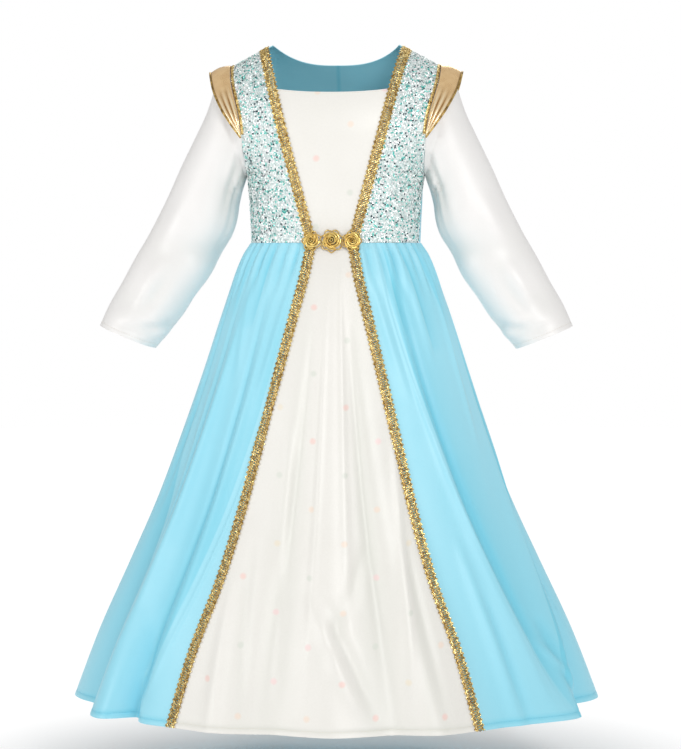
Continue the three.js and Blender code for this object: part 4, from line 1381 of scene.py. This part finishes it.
def make_sleeve(name, side):
    around = SLEEVE_SEAM + np.linspace(SLEEVE_SLIT, 2 * np.pi - SLEEVE_SLIT, SLEEVE_COLUMNS)
    cuff, arm = np.linspace(9, CUFF_START, CUFF_ROWS), np.linspace(CUFF_START, 0, ARM_ROWS)
    number = np.concatenate([cuff[:-1], arm[:-1], np.linspace(0, -1, HEAD_ROWS)])
    points = sleeve_point(around[None] % (2 * np.pi), number[:, None])[:, ::-1]
    groove = CUFF_GROOVE * bump(number, CUFF_STITCH, CUFF_GROOVE_HALF)
    points = points - grid_normals(points) * groove[:, None, None]
    fold = sleeve_fold(around[None], np.maximum(number, 0)[:, None])[:, ::-1]
    # Painted shade: a point is darker the deeper it lies in a fold, and the two columns at each side of the
    # seam take the full shadow colour.
    painted_shade = np.clip(-fold / SLEEVE_FOLD_DEEP, 0, 1)
    painted_shade[:, [0, 1, -2, -1]] = 1  # the seam under the arm
    grids[name] = points[:, ::side] * (side, 1, 1)
    painted_shades[name] = painted_shade[:, ::side]


for suffix, side in SIDES.items():
    make_sleeve("sleeve_" + suffix, side)
print("sleeve grid:", grids["sleeve_left"].shape)

# %% [markdown]
# Now every grid becomes a cloth. Its area is measured on the outer side, and the widest row and the
# longest column give the rectangle that it would be cut from.
# %% Cloth from the grids
FINISH_OF = {
    "bodice_insert": (spotted_satin, satin_reverse, "ivory_satin"),
    "bodice_side": (sequin_cloth, sequin_cloth, "sequin_fabric"),
    "bodice_back": (blue_velour, blue_reverse, "blue_velour"),
    "skirt_front": (spotted_satin, satin_reverse, "ivory_satin"),
    "skirt_side": (blue_velour, blue_reverse, "blue_velour"),
    "skirt_back": (blue_velour, blue_reverse, "blue_velour"),
    "sleeve": (sleeve_satin, satin_reverse, "sleeve_satin"),
}


def cut_size(points):
    """The longest row, the longest column and the area of a grid of points, in metres."""
    width = lengths_along(points, axis=1)[:, -1].max()
    length = lengths_along(points, axis=0)[-1].max()
    crossed = np.cross(points[1:, 1:] - points[:-1, :-1], points[1:, :-1] - points[:-1, 1:])
    area = np.linalg.norm(crossed, axis=-1).sum() / 2
    return round(float(width), 3), round(float(length), 3), float(area)


def finish_for(name):
    return next(value for key, value in FINISH_OF.items() if name.startswith(key))


cloths = {}
for name, points in grids.items():
    face, reverse, slot = finish_for(name)
    cloths[name] = shell(name + "_cloth", points, [face, reverse])
    if name in painted_shades:
        write_shares(cloths[name], "painted_shade", painted_shades[name])
    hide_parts(name)
    print(name, "cut from", cut_size(points)[:2])

# %% [markdown]
# ## Gold braid
# The braid is a lacy trim of metal thread. Four threads cross from side to side, two more make the scalloped
# edges, and straight threads hold them; these are coloured dark, partly their own colour and partly painted
# shade between the threads. Each thread is a sine wave across the width, and another sine lifts it over and
# under its neighbours. Joined flat cords show every crossing.
# %% Braids
# a lift is the height of a thread's middle and its swing; a size is a width and a height
BRAID_PERIOD = 0.0125
STEPS_IN_PERIOD = 16
SEAM_STEPS = 400
THREADS = 4
THREAD_WAVE = 0.0045
THREAD_LIFT = (0.0016, 0.00035)
THREAD_SIZE = (0.00125, 0.0010)
THREAD_SIDES = 5
EDGE_MIDDLE = 0.0053
EDGE_SCALLOP = 0.0017
EDGE_LIFT = (0.0015, 0.0003)
NET_LINES = (-0.0050, 0.0050)
NET_LIFT = 0.0012
NET_SIZE = (0.0015, 0.0006)
NET_SIDES = 4


def seam_places(surface, seam_at, low, high):
    """Heights along a seam at even steps of its length."""
    z = np.linspace(low, high, SEAM_STEPS)
    along = lengths_along(surface(seam_at(z), z))
    steps = int(along[-1] / BRAID_PERIOD * STEPS_IN_PERIOD)
    even = np.linspace(0, along[-1], steps)
    return np.interp(even, along, z), even


def on_seam(surface, middle, z, across, lift):
    angle = middle + angle_of(surface, middle, z, across)
    return moved_out(surface, angle, z, lift), normal_of(surface, angle, z)


def braid(name, surface, seam_at, low, high, side):
    z, along = seam_places(surface, seam_at, low, high)
    middle = side * seam_at(z)
    turn = 2 * np.pi * along / BRAID_PERIOD
    paths = []
    for phase in np.arange(THREADS) * QUARTER:
        lift = THREAD_LIFT[0] + THREAD_LIFT[1] * np.cos(2 * (turn + phase) + phase)
        paths.append(on_seam(surface, middle, z, THREAD_WAVE * np.sin(turn + phase), lift))
    for edge in (-1, 1):
        across = edge * (EDGE_MIDDLE + EDGE_SCALLOP * np.sin(2 * turn + edge))
        lift = EDGE_LIFT[0] + EDGE_LIFT[1] * np.cos(2 * turn)
        paths.append(on_seam(surface, middle, z, across, lift))
    threads = cords(name + "_threads", paths, [braid_gold], *THREAD_SIZE, THREAD_SIDES)
    lines = [on_seam(surface, middle, z, across, NET_LIFT) for across in NET_LINES]
    net = cords(name + "_net", lines, [braid_net], *NET_SIZE, NET_SIDES)
    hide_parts(name)
    return threads, net


braids = {}
BRAIDED = {
    # surface, seam, lowest and highest point
    "bodice": (bodice_point, front_seam, WAIST_Z + 0.001, -0.001),
    "skirt": (skirt_point, skirt_seam, HEM_Z, WAIST_Z - 0.001),
}
for suffix, side in SIDES.items():
    for part, seam in BRAIDED.items():
        braids[part + "_" + suffix] = braid(part + "_braid_" + suffix, *seam, side)
print("braids:", len(braids))

# %% [markdown]
# A finer braid of three threads covers each armhole seam on the bodice side.
# %% Fine braid on the armholes
CAP_END_Z = -0.110
ARMHOLE_STEPS = 300
FINE_PERIOD = 0.0052
FINE_MIDDLE = 0.0024
FINE_WAVE = 0.0016
FINE_STEPS = 700
FINE_THREADS = 3
FINE_LIFT = (0.0010, 0.0003)
FINE_SIZE = (0.0014, 0.0008)


def armhole_line(end_level, steps):
    """Places along the armhole from its front end over the shoulder to its back end, evenly spaced."""
    level = np.linspace(end_level, RIDGE_LEVEL, ARMHOLE_STEPS)
    angle = armhole(level)
    levels = np.concatenate([level, level[-2::-1]])
    angles = np.concatenate([angle, np.pi - angle[-2::-1]])
    along = lengths_along(bodice_point(angles, levels))
    even = np.linspace(0, along[-1], steps)
    return np.interp(even, along, angles), np.interp(even, along, levels), even


def fine_braid(suffix, side):
    angle, level, along = armhole_line(CAP_END_Z, FINE_STEPS)
    inward = np.sign(angle - QUARTER)
    turn = 2 * np.pi * along / FINE_PERIOD
    paths = []
    for phase in np.arange(FINE_THREADS) * 2 * np.pi / FINE_THREADS:
        inset = FINE_MIDDLE + FINE_WAVE * np.sin(turn + phase)
        moved = angle + inward * angle_of(bodice_point, angle, level, inset)
        lift = FINE_LIFT[0] + FINE_LIFT[1] * np.cos(2 * (turn + phase))
        points = moved_out(bodice_point, moved, level, lift) * (side, 1, 1)
        paths.append((points, normal_of(bodice_point, moved, level) * (side, 1, 1)))
    piece = cords("armhole_braid_" + suffix + "_threads", paths, [braid_gold], *FINE_SIZE, THREAD_SIDES)
    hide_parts("armhole_braid_" + suffix)
    return piece


fine_braids = {suffix: fine_braid(suffix, side) for suffix, side in SIDES.items()}
print("fine braids:", len(fine_braids))

# %% [markdown]
# ## Shoulder caps
# A cap is a crescent of gold lamé, sewn into the armhole seam and free at its outer edge. Its upper part is
# smooth; lower down three pleats run side by side into its points. Lamé is shiny, so the pleats get painted
# highlights as bright streaks on top and painted shade as dark lines between. The free edge is rolled, with a
# little painted shade on the cap beside it. Each point is a share of the way from the seam to the free edge,
# raised along the normal for the puff and the pleats.
# %% Caps
CAP_LIFT = 0.0018
CAP_CLOTH = 0.0008
CAP_PUFF = 0.0025
CAP_PLEATS = 3
CAP_PLEAT_RISE = 0.0030
CAP_PLEAT_STEEP = 0.24
CAP_PLEATED = (0.34, 0.66)
CAP_SEAM_FADE = (0.05, 0.2)
CAP_EDGE_FADE = (0.93, 1)
CAP_ALONG = 150
CAP_ACROSS = 75
CAP_SHADE_LINE_POWER = 1.3
CAP_PAINTED_HIGHLIGHT = 0.8
CAP_HIGHLIGHT_POWER = 7
ROLL_OUT = 0.0012
ROLL_WIDTH = 0.0024
ROLL_SHADE = 0.6
ROLL_SHADE_PLACE = 0.955
ROLL_SHADE_HALF = 0.04
ROLL_STEPS = 160
ROLL_SIDES = 10
ROLL_CENTRE = np.array([0.125, 0, -0.085])
UNDER_ARM = np.array([0.119, 0, -0.180])
EDGE_CENTRE = np.array([0.129, 0, -0.081])
EDGE_FLATTEN = 0.6
EDGE_STEPS = 600
CAP_EDGE = np.array(
    [
        (0.159, 0, -0.031),
        (0.152, -0.029, -0.055),
        (0.140, -0.050, -0.079),
        (0.128, -0.058, -0.097),
        (0.1154, -0.0613, -0.114),
    ]
)


def cap_edge_line(outward, steps):
    """Evenly spaced points on the free edge, from its front end to its back end."""
    back = CAP_EDGE[1:] * (1, -1, 1)
    points = np.concatenate([CAP_EDGE[::-1], back])
    away = (points - EDGE_CENTRE) * (1, EDGE_FLATTEN, 1)
    points = points + outward * unit(away)
    place = lengths_along(points)
    table = dict(zip("s x y z".split(), [place, *points.T]))
    dense = np.linspace(0, place[-1], EDGE_STEPS)
    line = np.stack([column_at(table, axis, dense, "s") for axis in "xyz"], axis=-1)
    even = lengths_along(line)
    wanted = np.linspace(0, even[-1], steps)
    return points_between(wanted, even, line)


def cap_grid():
    """The points of a cap with the shares of painted shade and of painted highlight at each."""
    angle, level, along = armhole_line(CAP_END_Z, CAP_ALONG)
    seam = moved_out(bodice_point, angle, level, np.full(CAP_ALONG, CAP_LIFT)) + (SEAM_GAP, 0, 0)
    free = cap_edge_line(0, CAP_ALONG)
    normal = unit(np.cross(np.gradient(seam, axis=0), free - seam))
    outside = np.sign(np.einsum("ij,ij->i", normal, (seam + free) / 2 - UNDER_ARM))
    share = np.linspace(0, 1, CAP_ACROSS)[:, None]
    from_top = np.abs(2 * along / along[-1] - 1)[None]
    pleated = smooth(from_top, *CAP_PLEATED)
    inside = smooth(share, *CAP_SEAM_FADE) * (1 - smooth(share, *CAP_EDGE_FADE))
    wave = np.abs(np.sin(np.pi * CAP_PLEATS * share))
    width = np.linalg.norm(free - seam, axis=-1)[None]
    pleat = (wave - 0.5) * np.minimum(CAP_PLEAT_RISE, CAP_PLEAT_STEEP * width) * pleated * inside
    puff = CAP_PUFF * np.sin(np.pi * share) * (1 - from_top**2)
    rise = (normal * outside[:, None])[None] * (puff + pleat)[..., None]
    # Painted shade in lines between the pleats and in a band beside the rolled edge; painted highlights along
    # the tops of the pleats.
    lines = (1 - wave) ** CAP_SHADE_LINE_POWER * pleated * inside
    depth = np.maximum(lines, ROLL_SHADE * bump(share, ROLL_SHADE_PLACE, ROLL_SHADE_HALF))
    painted_highlight = CAP_PAINTED_HIGHLIGHT * wave**CAP_HIGHLIGHT_POWER * pleated * inside
    return mix(seam[None], free[None], share[..., None]) + rise, depth, painted_highlight


def make_cap(suffix, side):
    name, edge = "cap_" + suffix, "cap_edge_" + suffix
    grid, depth, painted_highlight = cap_grid()
    grid = grid * (side, 1, 1)
    middle_normal = grid_normals(grid)[CAP_ACROSS // 2, CAP_ALONG // 2]
    if middle_normal @ (side, 0, 1) < 0:
        grid, depth, painted_highlight = (values[:, ::-1] for values in (grid, depth, painted_highlight))
    grids[name] = grid
    cloths[name] = shell(name + "_cloth", grid, [lame_gold], CAP_CLOTH)
    write_shares(cloths[name], "painted_shade", depth)
    write_shares(cloths[name], "painted_highlight", painted_highlight)
    line = cap_edge_line(ROLL_OUT, ROLL_STEPS) * (side, 1, 1)
    path = [(line, unit(line - ROLL_CENTRE * (side, 1, 1)))]
    rolled = cords(edge + "_roll", path, [rolled_gold], ROLL_WIDTH, ROLL_WIDTH, ROLL_SIDES)
    for piece, solid in ((cloths[name], name), (rolled, edge)):
        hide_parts(solid)
    return rolled


cap_rolls = {suffix: make_cap(suffix, side) for suffix, side in SIDES.items()}
print("caps:", [name for name in cloths if name.startswith("cap")])

# %% [markdown]
# ## Sequins
# The bodice sides are covered with tiny cup sequins. Most are silvery and pale, and the rest are painted
# white, rose, teal or nearly black at random, as painted reflections of the flashes that sequins give as they
# tip. Thousands of objects would be slow, so one joined mesh holds them all, made from arrays. A number on
# each face picks its tone or painted flash.
# %% Sequins
SEQUIN_SPACING = 0.0023
SEQUIN_RADIUS = 0.00125
SEQUIN_CUP = 0.0003
SEQUIN_SIDES = 6
SEQUIN_TILT = 0.26
SEQUIN_ROW = 0.87
SEQUIN_SHIFT = 0.16
SEQUIN_MARGIN = 0.0012
BRAID_MARGIN = 0.005
TOP_MARGIN = 0.001
LEVEL_SHIFT = 0.0002
SEQUIN_LIFT = 0.0005
LIFT_SPREAD = 0.0003
LEVEL_STEPS = 500
ROW_STEPS = 200
random = np.random.default_rng(2160)


def sequin_places(side):
    """Angles and levels of sequins in staggered, slightly uneven rows on one bodice side."""
    level = np.linspace(LOW_EDGE, RIDGE_LEVEL, LEVEL_STEPS)
    first, last = side_edges(level)
    middle = lengths_along(bodice_point((first + last) / 2, level))
    heights = np.arange(SEQUIN_MARGIN, middle[-1] - TOP_MARGIN, SEQUIN_SPACING * SEQUIN_ROW)
    rows = np.interp(heights, middle, level)
    angles, levels = [], []
    for number, row in enumerate(rows):
        start, end = (edge[0] for edge in side_edges(np.array([row])))
        across = np.linspace(start, end, ROW_STEPS)
        along = lengths_along(bodice_point(across, np.full(ROW_STEPS, row)))
        first_spot = BRAID_MARGIN + SEQUIN_SPACING * (number % 2) / 2
        spots = np.arange(first_spot, along[-1] - SEQUIN_MARGIN, SEQUIN_SPACING)
        spots = spots + random.normal(0, SEQUIN_SPACING * SEQUIN_SHIFT, len(spots))
        angles.append(np.interp(spots, along, across))
        levels.append(np.full(len(spots), row) + random.normal(0, LEVEL_SHIFT, len(spots)))
    return np.concatenate(angles) * side, np.clip(np.concatenate(levels), LOW_EDGE, RIDGE_LEVEL)


def make_sequins(suffix, side):
    angle, level = sequin_places(side)
    lift = SEQUIN_LIFT + crease_rise(BODICE_CREASES, angle, level)
    lift = lift + random.uniform(0, LIFT_SPREAD, len(angle))
    centre = moved_out(bodice_point, angle, level, lift)
    normal = unit(normal_of(bodice_point, angle, level) + random.normal(0, SEQUIN_TILT, centre.shape))
    east = unit(np.cross((0, 0, 1), normal))
    north = np.cross(normal, east)
    turn = 2 * np.pi * np.arange(SEQUIN_SIDES) / SEQUIN_SIDES
    rim_of = centre[:, None] + SEQUIN_RADIUS * (
        east[:, None] * np.cos(turn)[:, None] + north[:, None] * np.sin(turn)[:, None]
    )
    points = np.concatenate([rim_of, (centre - SEQUIN_CUP * normal)[:, None]], axis=1).reshape(-1, 3)
    first = np.arange(len(centre))[:, None, None] * (SEQUIN_SIDES + 1)
    corner = np.arange(SEQUIN_SIDES)
    one = np.stack([corner, (corner + 1) % SEQUIN_SIDES, np.full(SEQUIN_SIDES, SEQUIN_SIDES)], axis=-1)
    triangles = (first + one).reshape(-1, 3).tolist()
    piece = add_mesh("sequins_" + suffix, points, triangles, [sequin_gloss])
    # A random share per sequin picks a tone of its own or a painted flash.
    write_values(piece, "tone_and_flash", np.repeat(random.random(len(centre)), SEQUIN_SIDES), "FACE")
    print(piece.name, "has", len(centre), "sequins")
    return piece


sequins = {suffix: make_sequins(suffix, side) for suffix, side in SIDES.items()}

# %% [markdown]
# ## Roses
# Each rose is rolled from gold ribbon: a tight bud in the middle, then petals that overlap and curl
# outwards. A petal is a small grid whose foot lies at the middle and whose tip leans out, with a
# rolled lip. Rings of petals, turned against each other, make the spiral that shows from the front.
# %% Roses
ROSE_Z = -0.243
ROSE_LIFT = 0.0027
ROSE_LEAN = np.radians(7.5)
ROSE_TURN = np.radians(8)
BRAID_TOP = 0.002
ROSES = [
    # name, x, radius, height, what lies under it
    ("rose_1", -0.0246, 0.0113, 0.009, BRAID_TOP),
    ("rose_2", 0.0, 0.0133, 0.011, 0.0),
    ("rose_3", 0.0246, 0.0113, 0.009, BRAID_TOP),
]
PETAL_RINGS = named_table(
    "petals start reach height spread",
    [
        (2, 0.4, 0.17, 1.00, 115),
        (3, 1.1, 0.44, 0.95, 82),
        (4, 2.4, 0.71, 0.76, 66),
        (5, 0.5, 0.95, 0.46, 52),
    ],
)
# a pair is the middle of a measure and its swing; the loop's size is its width and height
RIBBON = 0.0004
PETAL_ACROSS = 13
PETAL_UP = 10
PETAL_FOOT = 0.62
PETAL_LEAN_POWER = 1.5
PETAL_SPIRAL = (0.90, 0.18)
PETAL_NARROW = 0.06
PETAL_DROOP = 0.20
LIP_PLACE = 0.8
PETAL_SIZES = (0.97, 0.06)
LOOP_POINTS = 120
LOOP_REACH = (0.99, 0.09)
LOOP_RISE = (0.20, 0.10)
LOOP_SIZE = (0.0014, 0.0007)
LOOP_SHADE = 0.25
FOOT_SHADE = 0.75
FOOT_SHADE_POWER = 1.4
ROSE_WOBBLE = 60


def petal(centre, reach, height, spread):
    """A petal as a grid: across it from side to side, and up it from its foot to its rolled lip."""
    across, up = np.meshgrid(np.linspace(-1, 1, PETAL_ACROSS), np.linspace(0, 1, PETAL_UP))
    around = centre + np.radians(spread) * across
    leaning = mix(PETAL_FOOT, 1, up**PETAL_LEAN_POWER) * (PETAL_SPIRAL[0] + PETAL_SPIRAL[1] * across)
    out = reach * leaning * (1 - PETAL_NARROW * across**2)
    rise = height * (1 - (1 - up / LIP_PLACE) ** 2) * (1 - PETAL_DROOP * across**2 * up)
    return np.stack([out * np.cos(around), out * np.sin(around), rise], axis=-1)


def petals_of(radius, height, wobble):
    """The petals of one rose, the innermost ring first; no two are quite the same size."""
    made = []
    for number, (petals, start, reach, tall, spread) in enumerate(rows_of(PETAL_RINGS)):
        for turn in np.arange(int(petals)) * 2 * np.pi / petals + start + wobble:
            scale = PETAL_SIZES[0] + PETAL_SIZES[1] * np.sin(5 * turn + 3 * number)
            made.append(petal(turn, radius * reach * scale, height * tall * scale, spread))
    return made


def ribbon_loop(radius, height, wobble):
    """A wavy loop of narrow ribbon that shows round the foot of a rose."""
    turn = np.linspace(0, 2 * np.pi, LOOP_POINTS)
    reach = radius * (LOOP_REACH[0] + LOOP_REACH[1] * np.sin(7 * turn + wobble))
    rise = height * (LOOP_RISE[0] + LOOP_RISE[1] * np.cos(9 * turn + wobble))
    path = np.stack([reach * np.cos(turn), reach * np.sin(turn), rise], axis=-1)
    return flat_tube(path, np.broadcast_to([0.0, 0.0, 1.0], path.shape), *LOOP_SIZE)


def facing_forward(local, x):
    """Turn a rose from lying on its back to facing forwards and a little up and outwards."""
    tip, turn = QUARTER - ROSE_LEAN, np.sign(x) * ROSE_TURN
    y = local[:, 1] * np.cos(tip) - local[:, 2] * np.sin(tip)
    z = local[:, 1] * np.sin(tip) + local[:, 2] * np.cos(tip)
    turned_x = local[:, 0] * np.cos(turn) - y * np.sin(turn)
    turned_y = local[:, 0] * np.sin(turn) + y * np.cos(turn)
    return np.stack([turned_x, turned_y, z], axis=-1)


def make_rose(name, x, radius, height, under):
    wobble = ROSE_WOBBLE * x
    loop, faces = ribbon_loop(radius, height, wobble)
    points, painted_shade_parts = [loop], [np.full(len(loop), LOOP_SHADE)]
    first = len(loop)
    for outer in petals_of(radius, height, wobble):
        both_skins, more_faces = closed_skins(outer, RIBBON, first)
        # Painted shade: each petal darkens towards its foot, deep among the rings, and the ribbon loop is a
        # little shaded.
        foot = FOOT_SHADE * (1 - np.linspace(0, 1, len(outer)) ** FOOT_SHADE_POWER)
        painted_shade_parts.append(np.tile(np.repeat(foot, outer.shape[1]), 2))
        points.append(both_skins)
        faces += more_faces
        first += len(both_skins)
    local = np.concatenate(points)
    local[:, 2] = np.clip(local[:, 2], 0, height)
    seat = bodice_point(np.arcsin(x / BODICE_SECTIONS["half_width"][0]), WAIST_Z)
    place = (x, seat[1] - under - ROSE_LIFT, ROSE_Z)
    piece = add_mesh(name + "_petals", facing_forward(local, x) + place, faces, [ribbon_gold])
    write_values(piece, "painted_shade", np.concatenate(painted_shade_parts))
    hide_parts(name)
    return piece


roses = [make_rose(*rose) for rose in ROSES]
print("roses:", len(roses))

# %% [markdown]
# ## Stitches
# The hem, the cuffs and the neckline are turned in and sewn with a straight stitch. Each stitch is a
# tiny spindle, thin at both ends, that follows the cloth. A row of them is one joined mesh.
# %% Stitches
STITCH_LENGTH = 0.0026
STITCH_PITCH = 0.0036
STITCH_WIDTH = 0.0005
STITCH_LIFT = 0.0002
THREAD_PATCHES = 60.0
THREAD_HAIRS = 800.0
THREAD_ROUGH = (0.5, 0.7)
SPINDLE = [(0, 1, 2), (0, 2, 3), (0, 3, 4), (0, 4, 1), (5, 2, 1), (5, 3, 2), (5, 4, 3), (5, 1, 4)]


def stitches(name, line, normals, finish):
    along = lengths_along(line)
    start = np.arange(STITCH_PITCH / 2, along[-1] - STITCH_LENGTH, STITCH_PITCH)
    head, middle, tail = (
        points_between(start + share * STITCH_LENGTH, along, line) for share in (0, 0.5, 1)
    )
    normal = unit(points_between(start + STITCH_LENGTH / 2, along, normals))
    side = unit(np.cross(tail - head, normal)) * STITCH_WIDTH / 2
    lift = normal * STITCH_WIDTH / 2
    points = np.stack([head, middle + side, middle + lift, middle - side, middle - lift, tail], axis=1)
    first = np.arange(len(start))[:, None, None] * points.shape[1]
    faces = (first + np.array(SPINDLE)).reshape(-1, 3).tolist()
    return add_mesh(name, points.reshape(-1, 3), faces, [finish])


def thread_finish(name, light, deep):
    finish, tree, shader = new_finish(name, Sheen_Weight=0.2)
    place = coordinates(tree, "Object")
    colour = dyed(tree, place, light, deep, THREAD_PATCHES)
    complete(tree, shader, colour, noise(tree, place, THREAD_HAIRS), THREAD_ROUGH)
    return finish


def row_stitches(name, level_row, finish):
    """Stitches along one row of a cloth's grid."""
    grid = grids[name]
    line, normals = grid[level_row], grid_normals(grid)[level_row]
    return stitches(name + "_stitches", line + normals * STITCH_LIFT, normals, finish)


blue_thread = thread_finish("blue_thread", (0.22, 0.62, 0.80, 1), (0.16, 0.54, 0.72, 1))
ivory_thread = thread_finish("ivory_thread", (0.82, 0.77, 0.68, 1), (0.76, 0.70, 0.60, 1))
HEM_ROW = 4
CUFF_ROW = 5
INSERT_TOP_ROW = -3
BACK_TOP_ROW = -4
STITCHED = {
    "skirt_front": (HEM_ROW, ivory_thread),
    "skirt_side_left": (HEM_ROW, blue_thread),
    "skirt_side_right": (HEM_ROW, blue_thread),
    "skirt_back": (HEM_ROW, blue_thread),
    "sleeve_left": (CUFF_ROW, ivory_thread),
    "sleeve_right": (CUFF_ROW, ivory_thread),
    "bodice_insert": (INSERT_TOP_ROW, ivory_thread),
    "bodice_back_left": (BACK_TOP_ROW, blue_thread),
    "bodice_back_right": (BACK_TOP_ROW, blue_thread),
}
stitch_rows = {name: row_stitches(name, *edge) for name, edge in STITCHED.items()}
print("stitched edges:", len(stitch_rows))

# %% [markdown]
# ## What hangs on what
# What is sewn on each cloth and what each cloth hangs from are listed, and every piece moves with the one
# body of the dress.
# %% What is sewn on, and the one body
SEWN_ON = {"bodice_insert": roses}
HANGS_FROM = {
    "bodice_insert": ["bodice_side_left", "bodice_side_right"],
    "skirt_front": ["bodice_insert"],
    "skirt_back": ["bodice_back_left", "bodice_back_right"],
}
for suffix in SIDES:
    front, back = "bodice_side_" + suffix, "bodice_back_" + suffix
    SEWN_ON[front] = [sequins[suffix], *braids["bodice_" + suffix], fine_braids[suffix]]
    SEWN_ON["skirt_side_" + suffix] = braids["skirt_" + suffix]
    SEWN_ON["cap_" + suffix] = [cap_rolls[suffix]]
    HANGS_FROM[front] = [back]
    HANGS_FROM[back] = HANGS_FROM["skirt_side_" + suffix] = [front]
    HANGS_FROM["sleeve_" + suffix] = HANGS_FROM["cap_" + suffix] = [front, back]
for name, cloth in cloths.items():
    sewn_on = list(SEWN_ON.get(name, []))
    if name in stitch_rows:
        sewn_on.append(stitch_rows[name])
for piece in every_piece.values():
    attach(piece, "root")
print("sheets:", len(cloths), "pieces:", len(every_piece))

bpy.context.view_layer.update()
counts = [sum(len(face.vertices) - 2 for face in piece.data.polygons) for piece in every_piece.values()]
print("triangles:", sum(counts), "most in one piece:", max(counts))
